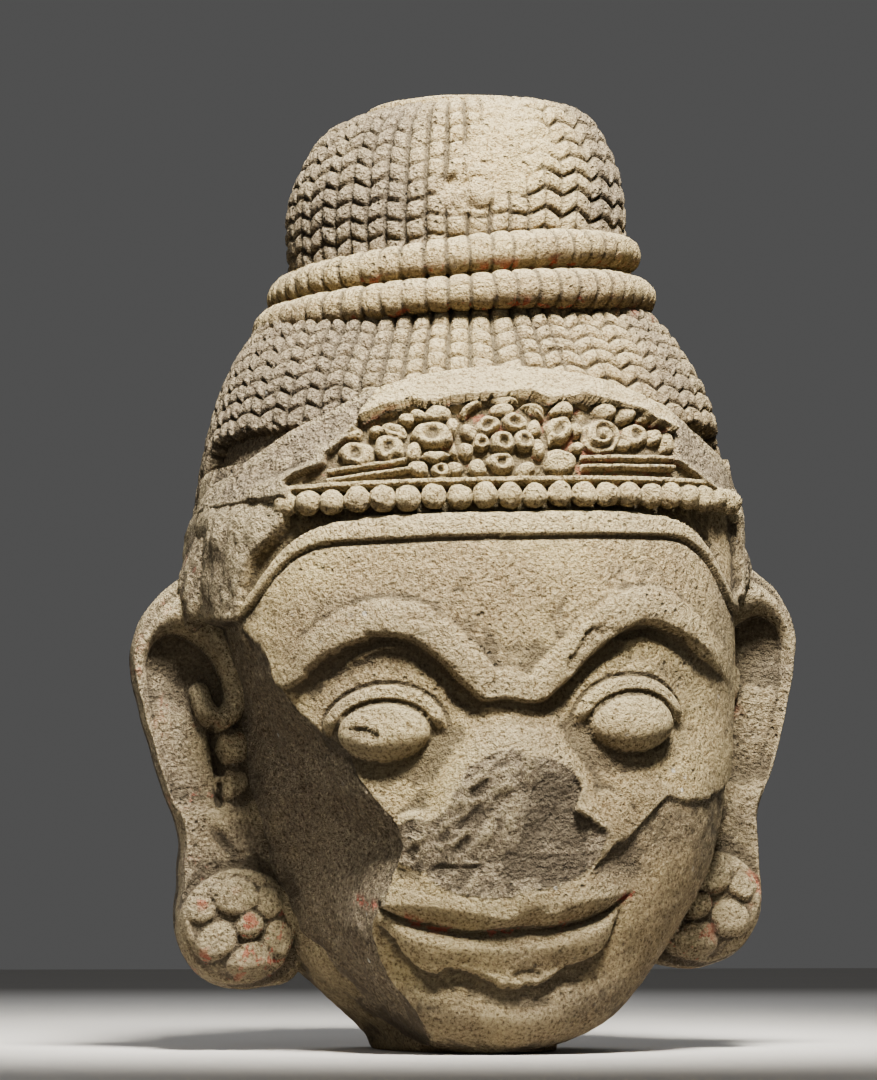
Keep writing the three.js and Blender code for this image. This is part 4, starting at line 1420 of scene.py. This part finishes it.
def node_noise(tree, vector, scale, detail, roughness=0.55):
    """Noise at a scale, as its value."""
    node = tree.nodes.new("ShaderNodeTexNoise")
    node.inputs["Scale"].default_value = scale
    node.inputs["Detail"].default_value = detail
    node.inputs["Roughness"].default_value = roughness
    tree.links.new(vector, node.inputs["Vector"])
    return node.outputs[0]


def grain_group():
    """Sandstone's grain: a height for bump, and masks for dark grains, pale grains and pits."""
    tree = bpy.data.node_groups.new("Sandstone Grain", "ShaderNodeTree")
    add_socket(tree, "Vector", "NodeSocketVector", "INPUT")
    add_socket(tree, "Broken", "NodeSocketFloat", "INPUT", 0.0)
    for name in ("Height", "Dark", "Pale", "Pits"):
        add_socket(tree, name, "NodeSocketFloat", "OUTPUT")
    source, end = tree.nodes.new("NodeGroupInput"), tree.nodes.new("NodeGroupOutput")
    vector = source.outputs["Vector"]
    sand = node_noise(tree, vector, 460, 3, 0.75)
    lumps = node_noise(tree, vector, 200, 3, 0.65)
    waves = node_noise(tree, vector, 60, 3, 0.5)
    pit = tree.nodes.new("ShaderNodeTexVoronoi")
    pit.inputs["Scale"].default_value = 150
    tree.links.new(vector, pit.inputs["Vector"])
    sparse = node_ramp(tree, node_noise(tree, vector, 17, 2), 0.48, 0.66)
    pits = node_math(tree, "MULTIPLY", node_ramp(tree, pit.outputs["Distance"], 0.28, 0.10), sparse)
    height = node_math(tree, "MULTIPLY_ADD", lumps, 1.6, node_math(tree, "MULTIPLY", sand, 1.2))
    height = node_math(tree, "MULTIPLY_ADD", waves, 1.4, height)
    extra = node_math(tree, "MULTIPLY", source.outputs["Broken"], node_math(tree, "MULTIPLY", lumps, 1.2))
    height = node_math(tree, "ADD", height, extra)
    height = node_math(tree, "SUBTRACT", height, node_math(tree, "MULTIPLY", pits, 1.2))
    tree.links.new(height, end.inputs["Height"])
    tree.links.new(node_ramp(tree, sand, 0.52, 0.34), end.inputs["Dark"])
    tree.links.new(node_ramp(tree, sand, 0.54, 0.68), end.inputs["Pale"])
    tree.links.new(pits, end.inputs["Pits"])
    return tree


def weather_group():
    """Where the weather has worked, and where light and shade are painted: patches, pale upward faces that
    are washed and painted with top light, painted shade on downward faces, dirt and painted shade in creases,
    rubbed edges, streaks.
    """
    tree = bpy.data.node_groups.new("Weathering", "ShaderNodeTree")
    add_socket(tree, "Vector", "NodeSocketVector", "INPUT")
    add_socket(tree, "Hollow", "NodeSocketFloat", "INPUT", 0.0)
    for name in ("Patches", "Ochre", "Washed", "Sheltered", "Dirt", "Rubbed", "Streaks", "Specks"):
        add_socket(tree, name, "NodeSocketFloat", "OUTPUT")
    source, end = tree.nodes.new("NodeGroupInput"), tree.nodes.new("NodeGroupOutput")
    vector, hollow = source.outputs["Vector"], source.outputs["Hollow"]
    broad = node_noise(tree, vector, 7, 5, 0.6)
    medium = node_noise(tree, vector, 26, 4, 0.62)
    tree.links.new(node_ramp(tree, broad, 0.42, 0.62), end.inputs["Patches"])
    tree.links.new(node_ramp(tree, medium, 0.45, 0.66), end.inputs["Ochre"])
    facing = tree.nodes.new("ShaderNodeNewGeometry")
    apart = tree.nodes.new("ShaderNodeSeparateXYZ")
    tree.links.new(facing.outputs["Normal"], apart.inputs["Vector"])
    up = node_math(tree, "MULTIPLY_ADD", medium, 0.5, apart.outputs["Z"])
    # Painted top light together with washed stone: upward faces grow pale.
    tree.links.new(node_ramp(tree, up, 0.5, 1.15), end.inputs["Washed"])
    # Painted shade: downward faces get a darker tone that stands in for the shade under them.
    tree.links.new(node_ramp(tree, up, 0.2, -0.25), end.inputs["Sheltered"])
    # Dirt and painted shade: deep creases, and places marked as shaded, turn dark.
    shade_and_soil = node_math(tree, "MULTIPLY_ADD", medium, 0.5, hollow)
    tree.links.new(node_ramp(tree, shade_and_soil, 0.38, 0.9), end.inputs["Dirt"])
    tree.links.new(node_ramp(tree, hollow, -0.12, -0.6), end.inputs["Rubbed"])
    squeezed = tree.nodes.new("ShaderNodeVectorMath")
    squeezed.operation = "MULTIPLY"
    squeezed.inputs[1].default_value = (1, 1, 0.16)
    tree.links.new(vector, squeezed.inputs[0])
    streaks = node_noise(tree, squeezed.outputs[0], 300, 4, 0.7)
    tree.links.new(node_ramp(tree, streaks, 0.36, 0.66), end.inputs["Streaks"])
    cells = tree.nodes.new("ShaderNodeTexVoronoi")
    cells.inputs["Scale"].default_value = 70
    tree.links.new(vector, cells.inputs["Vector"])
    rare = node_ramp(tree, node_noise(tree, vector, 13, 3), 0.6, 0.72)
    specks = node_math(tree, "MULTIPLY", node_ramp(tree, cells.outputs["Distance"], 0.16, 0.09), rare)
    tree.links.new(specks, end.inputs["Specks"])
    return tree


def group_node(tree, group, vector, **links):
    """A group placed in a material."""
    node = tree.nodes.new("ShaderNodeGroup")
    node.node_tree = group
    tree.links.new(vector, node.inputs["Vector"])
    for name, socket in links.items():
        tree.links.new(socket, node.inputs[name])
    return node


def stone_material():
    """Grainy sandstone, pale where it is washed and painted with top light, brown with dirt and painted shade
    in its creases, darker with painted shade on downward faces, grey where it is broken and where painted
    shade is laid through the broken mark.
    """
    colours = bpy.context.scene.guardian_colours
    material = bpy.data.materials.new(STONE)
    material.use_nodes = True
    tree = material.node_tree
    shader = tree.nodes["Principled BSDF"]
    place = tree.nodes.new("ShaderNodeTexCoord").outputs["Object"]
    marks = {}
    for name in ("hollow", "broken", "paint"):
        node = tree.nodes.new("ShaderNodeAttribute")
        node.attribute_name = name
        marks[name] = node.outputs["Fac"]
    grain = group_node(tree, grain_group(), place, Broken=marks["broken"])
    weather = group_node(tree, weather_group(), place, Hollow=marks["hollow"])
    base = node_mix(tree, "MIX", weather.outputs["Patches"], tuple(colours.buff), tuple(colours.brown))
    ochre = node_math(tree, "MULTIPLY", weather.outputs["Ochre"], 0.4)
    base = node_mix(tree, "MIX", ochre, base, tuple(colours.ochre))
    streaked = node_mix(tree, "MIX", weather.outputs["Streaks"], tuple(colours.broken), tuple(colours.streak))
    # The broken mark also carries painted shade on the chin, the head's left side, the hair's sides and the
    # ears.
    broken = node_math(tree, "MULTIPLY", marks["broken"], 0.85)
    base = node_mix(tree, "MIX", broken, base, streaked)
    # Pale upward faces, partly washed stone and partly painted top light; fresh broken faces get less of it.
    fresh = node_math(tree, "MULTIPLY_ADD", marks["broken"], -0.6, 0.7)
    washed_and_top_lit = node_math(tree, "MULTIPLY", weather.outputs["Washed"], fresh)
    base = node_mix(tree, "MIX", washed_and_top_lit, base, tuple(colours.pale))
    rubbed = node_math(tree, "MULTIPLY", weather.outputs["Rubbed"], 0.3)
    base = node_mix(tree, "MIX", rubbed, base, tuple(colours.pale))
    dark = node_math(tree, "MULTIPLY", grain.outputs["Dark"], 1.0)
    base = node_mix(tree, "MULTIPLY", dark, base, tuple(colours.grain))
    pale = node_math(tree, "MULTIPLY", grain.outputs["Pale"], 0.55)
    base = node_mix(tree, "MIX", pale, base, tuple(colours.pale))
    # Painted shade: downward faces are multiplied by the shade colour.
    shaded = node_math(tree, "MULTIPLY", weather.outputs["Sheltered"], 0.55)
    base = node_mix(tree, "MULTIPLY", shaded, base, tuple(colours.shade))
    # Dirt and painted shade in creases and on faces marked as shaded.
    dirt_and_shade = node_math(tree, "MULTIPLY", weather.outputs["Dirt"], 0.72)
    base = node_mix(tree, "MIX", dirt_and_shade, base, tuple(colours.dirt_and_shade))
    pits = node_math(tree, "MULTIPLY", grain.outputs["Pits"], 0.45)
    base = node_mix(tree, "MIX", pits, base, tuple(colours.dirt_and_shade))
    flecks = node_ramp(tree, node_noise(tree, place, 60, 4, 0.7), 0.54, 0.6)
    red = node_math(tree, "MULTIPLY", marks["paint"], flecks)
    base = node_mix(tree, "MIX", node_math(tree, "MULTIPLY", red, 0.85), base, tuple(colours.red))
    specks = node_math(tree, "MULTIPLY", weather.outputs["Specks"], 0.7)
    base = node_mix(tree, "MIX", specks, base, tuple(colours.lime))
    tree.links.new(base, shader.inputs["Base Color"])
    dull = node_math(tree, "MULTIPLY_ADD", grain.outputs["Pale"], -0.12, 0.96)
    tree.links.new(dull, shader.inputs["Roughness"])
    shader.inputs["Specular IOR Level"].default_value = 0.25
    bump = tree.nodes.new("ShaderNodeBump")
    bump.inputs["Strength"].default_value = 1.0
    bump.inputs["Distance"].default_value = 0.006
    tree.links.new(grain.outputs["Height"], bump.inputs["Height"])
    tree.links.new(bump.outputs["Normal"], shader.inputs["Normal"])
    return material


# Stage


def floor_material():
    """A plain pale floor."""
    material = bpy.data.materials.new("pale floor")
    material.use_nodes = True
    tree = material.node_tree
    shader = tree.nodes["Principled BSDF"]
    place = tree.nodes.new("ShaderNodeTexCoord").outputs["Object"]
    clouds = node_noise(tree, place, 2.2, 3)
    tint = node_mix(tree, "MIX", clouds, (0.60, 0.58, 0.55, 1), (0.66, 0.64, 0.61, 1))
    tree.links.new(tint, shader.inputs["Base Color"])
    shader.inputs["Roughness"].default_value = 0.9
    return material


def aimed(thing, target):
    """Turns a light or camera so that it looks at a point."""
    way = Vector(target) - thing.location
    thing.rotation_euler = way.to_track_quat("-Z", "Y").to_euler()


def build_camera():
    """The camera at the photograph's angle."""
    azimuth = math.radians(CAMERA_AZIMUTH)
    data = bpy.data.cameras.new("camera")
    camera = bpy.data.objects.new("camera", data)
    bpy.context.scene.collection.objects.link(camera)
    camera.location = (
        math.sin(azimuth) * CAMERA_DISTANCE,
        -math.cos(azimuth) * CAMERA_DISTANCE,
        CAMERA_HEIGHT,
    )
    side = (PICTURE[0] / 2 - MIDLINE_PIXEL) / PIXELS_PER_METRE
    height = (BASE_PIXEL - PICTURE[1] / 2) / PIXELS_PER_METRE
    target = Vector((math.cos(azimuth) * side, math.sin(azimuth) * side, height))
    aimed(camera, target)
    reach = (target - camera.location).length
    data.sensor_fit = "VERTICAL"
    data.sensor_height = 24
    data.lens = PIXELS_PER_METRE * reach * data.sensor_height / PICTURE[1]
    bpy.context.scene.camera = camera


def build_light(name, place, size, power, tint, target, beam):
    """One soft light that looks at a height of the head, with a beam so many degrees wide."""
    data = bpy.data.lights.new(name, "AREA")
    data.shape = "DISK"
    data.size = size
    data.spread = math.radians(beam)
    data.energy = power
    data.color = tint
    light = bpy.data.objects.new(name, data)
    bpy.context.scene.collection.objects.link(light)
    light.location = place
    aimed(light, (0, 0, target))


def build_stage():
    """The floor, the lights and the camera."""
    bpy.ops.mesh.primitive_plane_add(size=12, location=(0, 0, -0.0005))
    floor = bpy.context.object
    floor.name = "floor"
    floor.data.materials.append(floor_material())
    build_camera()
    for light in LIGHTS:
        build_light(*light)
    world = bpy.data.worlds.new("studio")
    bpy.context.scene.world = world
    world.use_nodes = True
    background = world.node_tree.nodes["Background"]
    background.inputs["Color"].default_value = (WORLD_GREY, WORLD_GREY, WORLD_GREY, 1)
    background.inputs["Strength"].default_value = WORLD_STRENGTH


# Settings


class GuardianSizes(bpy.types.PropertyGroup):
    """Sizes of the carving that a user may change."""

    braids_on_crown: bpy.props.IntProperty(
        name="Strands on the crown",
        description="Strands of hair side by side round the crown",
        default=72,
        min=24,
    )
    braids_on_topknot: bpy.props.IntProperty(
        name="Strands on the topknot",
        description="Strands of hair side by side round the topknot",
        default=52,
        min=24,
    )
    bead_radius: bpy.props.FloatProperty(
        name="Bead radius", description="Radius of a bead of the diadem", default=8.6 * UNIT, unit="LENGTH"
    )


def colour(name, description, value):
    """A colour that a user may change."""
    return bpy.props.FloatVectorProperty(
        name=name, description=description, subtype="COLOR", size=4, min=0, max=1, default=value
    )


class GuardianColours(bpy.types.PropertyGroup):
    """Colours of the stone."""

    buff: colour("Buff", "The stone's main colour", (0.48, 0.375, 0.185, 1))
    brown: colour("Brown", "Darker patches", (0.34, 0.255, 0.135, 1))
    ochre: colour("Ochre", "Warm stains", (0.46, 0.34, 0.17, 1))
    broken: colour("Broken", "Broken faces", (0.19, 0.15, 0.105, 1))
    streak: colour("Streak", "Lighter streaks in broken faces", (0.25, 0.205, 0.145, 1))
    # Pale: washed stone and painted top light on upper faces, rubbed edges and pale grains.
    pale: colour("Pale", "Washed upper faces and rubbed edges", (0.66, 0.55, 0.32, 1))
    # Painted shade: the tone laid on downward faces.
    shade: colour("Shade", "What sheltered faces are toned by", (0.42, 0.36, 0.29, 1))
    # Dirt and painted shade: the dark of creases, grooves and shaded faces.
    dirt_and_shade: colour("Dirt", "Dirt in the creases", (0.06, 0.045, 0.028, 1))
    grain: colour("Grain", "What dark grains are toned by", (0.36, 0.31, 0.26, 1))
    red: colour("Red", "Traces of pigment", (0.38, 0.05, 0.03, 1))
    lime: colour("Lime", "Specks of lime", (0.82, 0.79, 0.70, 1))


def make_stone():
    """The stone and the trees that repeat its ornament."""
    stone_material()
    plait_tree()
    cord_tree()
    bead_tree()


class GUARDIAN_OT_stone(bpy.types.Operator):
    """Makes the stone's material and the ornament's node trees"""

    bl_idname = "guardian.stone"
    bl_label = "Stone"

    def execute(self, context):
        make_stone()
        return {"FINISHED"}


class GUARDIAN_OT_block(bpy.types.Operator):
    """Carves the face and the block under the hair"""

    bl_idname = "guardian.block"
    bl_label = "Face and block"

    def execute(self, context):
        build_block()
        return {"FINISHED"}


class GUARDIAN_OT_neck(bpy.types.Operator):
    """Makes the stub of the neck, cut flat below"""

    bl_idname = "guardian.neck"
    bl_label = "Neck"

    def execute(self, context):
        build_neck()
        return {"FINISHED"}


class GUARDIAN_OT_crown(bpy.types.Operator):
    """Plaits the hair over the crown"""

    bl_idname = "guardian.crown"
    bl_label = "Crown hair"

    def execute(self, context):
        build_crown()
        return {"FINISHED"}


class GUARDIAN_OT_topknot(bpy.types.Operator):
    """Plaits the topknot"""

    bl_idname = "guardian.topknot"
    bl_label = "Topknot"

    def execute(self, context):
        build_topknot()
        return {"FINISHED"}


class GUARDIAN_OT_top(bpy.types.Operator):
    """Lays the thin slab on the topknot"""

    bl_idname = "guardian.top"
    bl_label = "Top slab"

    def execute(self, context):
        build_top()
        return {"FINISHED"}


class GUARDIAN_OT_cords(bpy.types.Operator):
    """Winds the two cords round the topknot"""

    bl_idname = "guardian.cords"
    bl_label = "Cords"

    def execute(self, context):
        build_cords()
        return {"FINISHED"}


class GUARDIAN_OT_diadem(bpy.types.Operator):
    """Carves the diadem and its flowers"""

    bl_idname = "guardian.diadem"
    bl_label = "Diadem"

    def execute(self, context):
        build_diadem()
        return {"FINISHED"}


class GUARDIAN_OT_beads(bpy.types.Operator):
    """Strings the beads under the diadem"""

    bl_idname = "guardian.beads"
    bl_label = "Beads"

    def execute(self, context):
        build_beads()
        return {"FINISHED"}


class GUARDIAN_OT_ears(bpy.types.Operator):
    """Carves the ears and their earrings"""

    bl_idname = "guardian.ears"
    bl_label = "Ears"

    def execute(self, context):
        build_ears()
        return {"FINISHED"}


class GUARDIAN_OT_stubs(bpy.types.Operator):
    """Leaves the stubs of hair above the ears"""

    bl_idname = "guardian.stubs"
    bl_label = "Temple stubs"

    def execute(self, context):
        build_stubs()
        return {"FINISHED"}


class GUARDIAN_OT_stage(bpy.types.Operator):
    """Sets the floor, the lights and the camera"""

    bl_idname = "guardian.stage"
    bl_label = "Stage"

    def execute(self, context):
        build_stage()
        return {"FINISHED"}


# The operators in the order in which they build the head
OPERATORS = [
    GUARDIAN_OT_stone,
    GUARDIAN_OT_block,
    GUARDIAN_OT_neck,
    GUARDIAN_OT_crown,
    GUARDIAN_OT_topknot,
    GUARDIAN_OT_top,
    GUARDIAN_OT_cords,
    GUARDIAN_OT_diadem,
    GUARDIAN_OT_beads,
    GUARDIAN_OT_ears,
    GUARDIAN_OT_stubs,
    GUARDIAN_OT_stage,
]


class GUARDIAN_PT_panel(bpy.types.Panel):
    """Lists the settings and the steps."""

    bl_label = "Guardian Head"
    bl_space_type = "VIEW_3D"
    bl_region_type = "UI"
    bl_category = "Guardian"

    def draw(self, context):
        sizes, colours = context.scene.guardian_sizes, context.scene.guardian_colours
        for group in (sizes, colours):
            for name in group.__annotations__:
                self.layout.prop(group, name)
        for operator in OPERATORS:
            self.layout.operator(operator.bl_idname)


CLASSES = [GuardianSizes, GuardianColours, *OPERATORS, GUARDIAN_PT_panel]


def register():
    """Registers the settings, the operators and the panel."""
    for one in CLASSES:
        bpy.utils.register_class(one)
    bpy.types.Scene.guardian_sizes = bpy.props.PointerProperty(type=GuardianSizes)
    bpy.types.Scene.guardian_colours = bpy.props.PointerProperty(type=GuardianColours)


def unregister():
    """Takes the settings, the operators and the panel away."""
    del bpy.types.Scene.guardian_colours
    del bpy.types.Scene.guardian_sizes
    for one in reversed(CLASSES):
        bpy.utils.unregister_class(one)


def main():
    """Builds every piece and the stage."""
    register()
    for operator in OPERATORS:
        getattr(bpy.ops.guardian, operator.bl_idname.split(".")[1])()


if __name__ == "__main__":
    main()
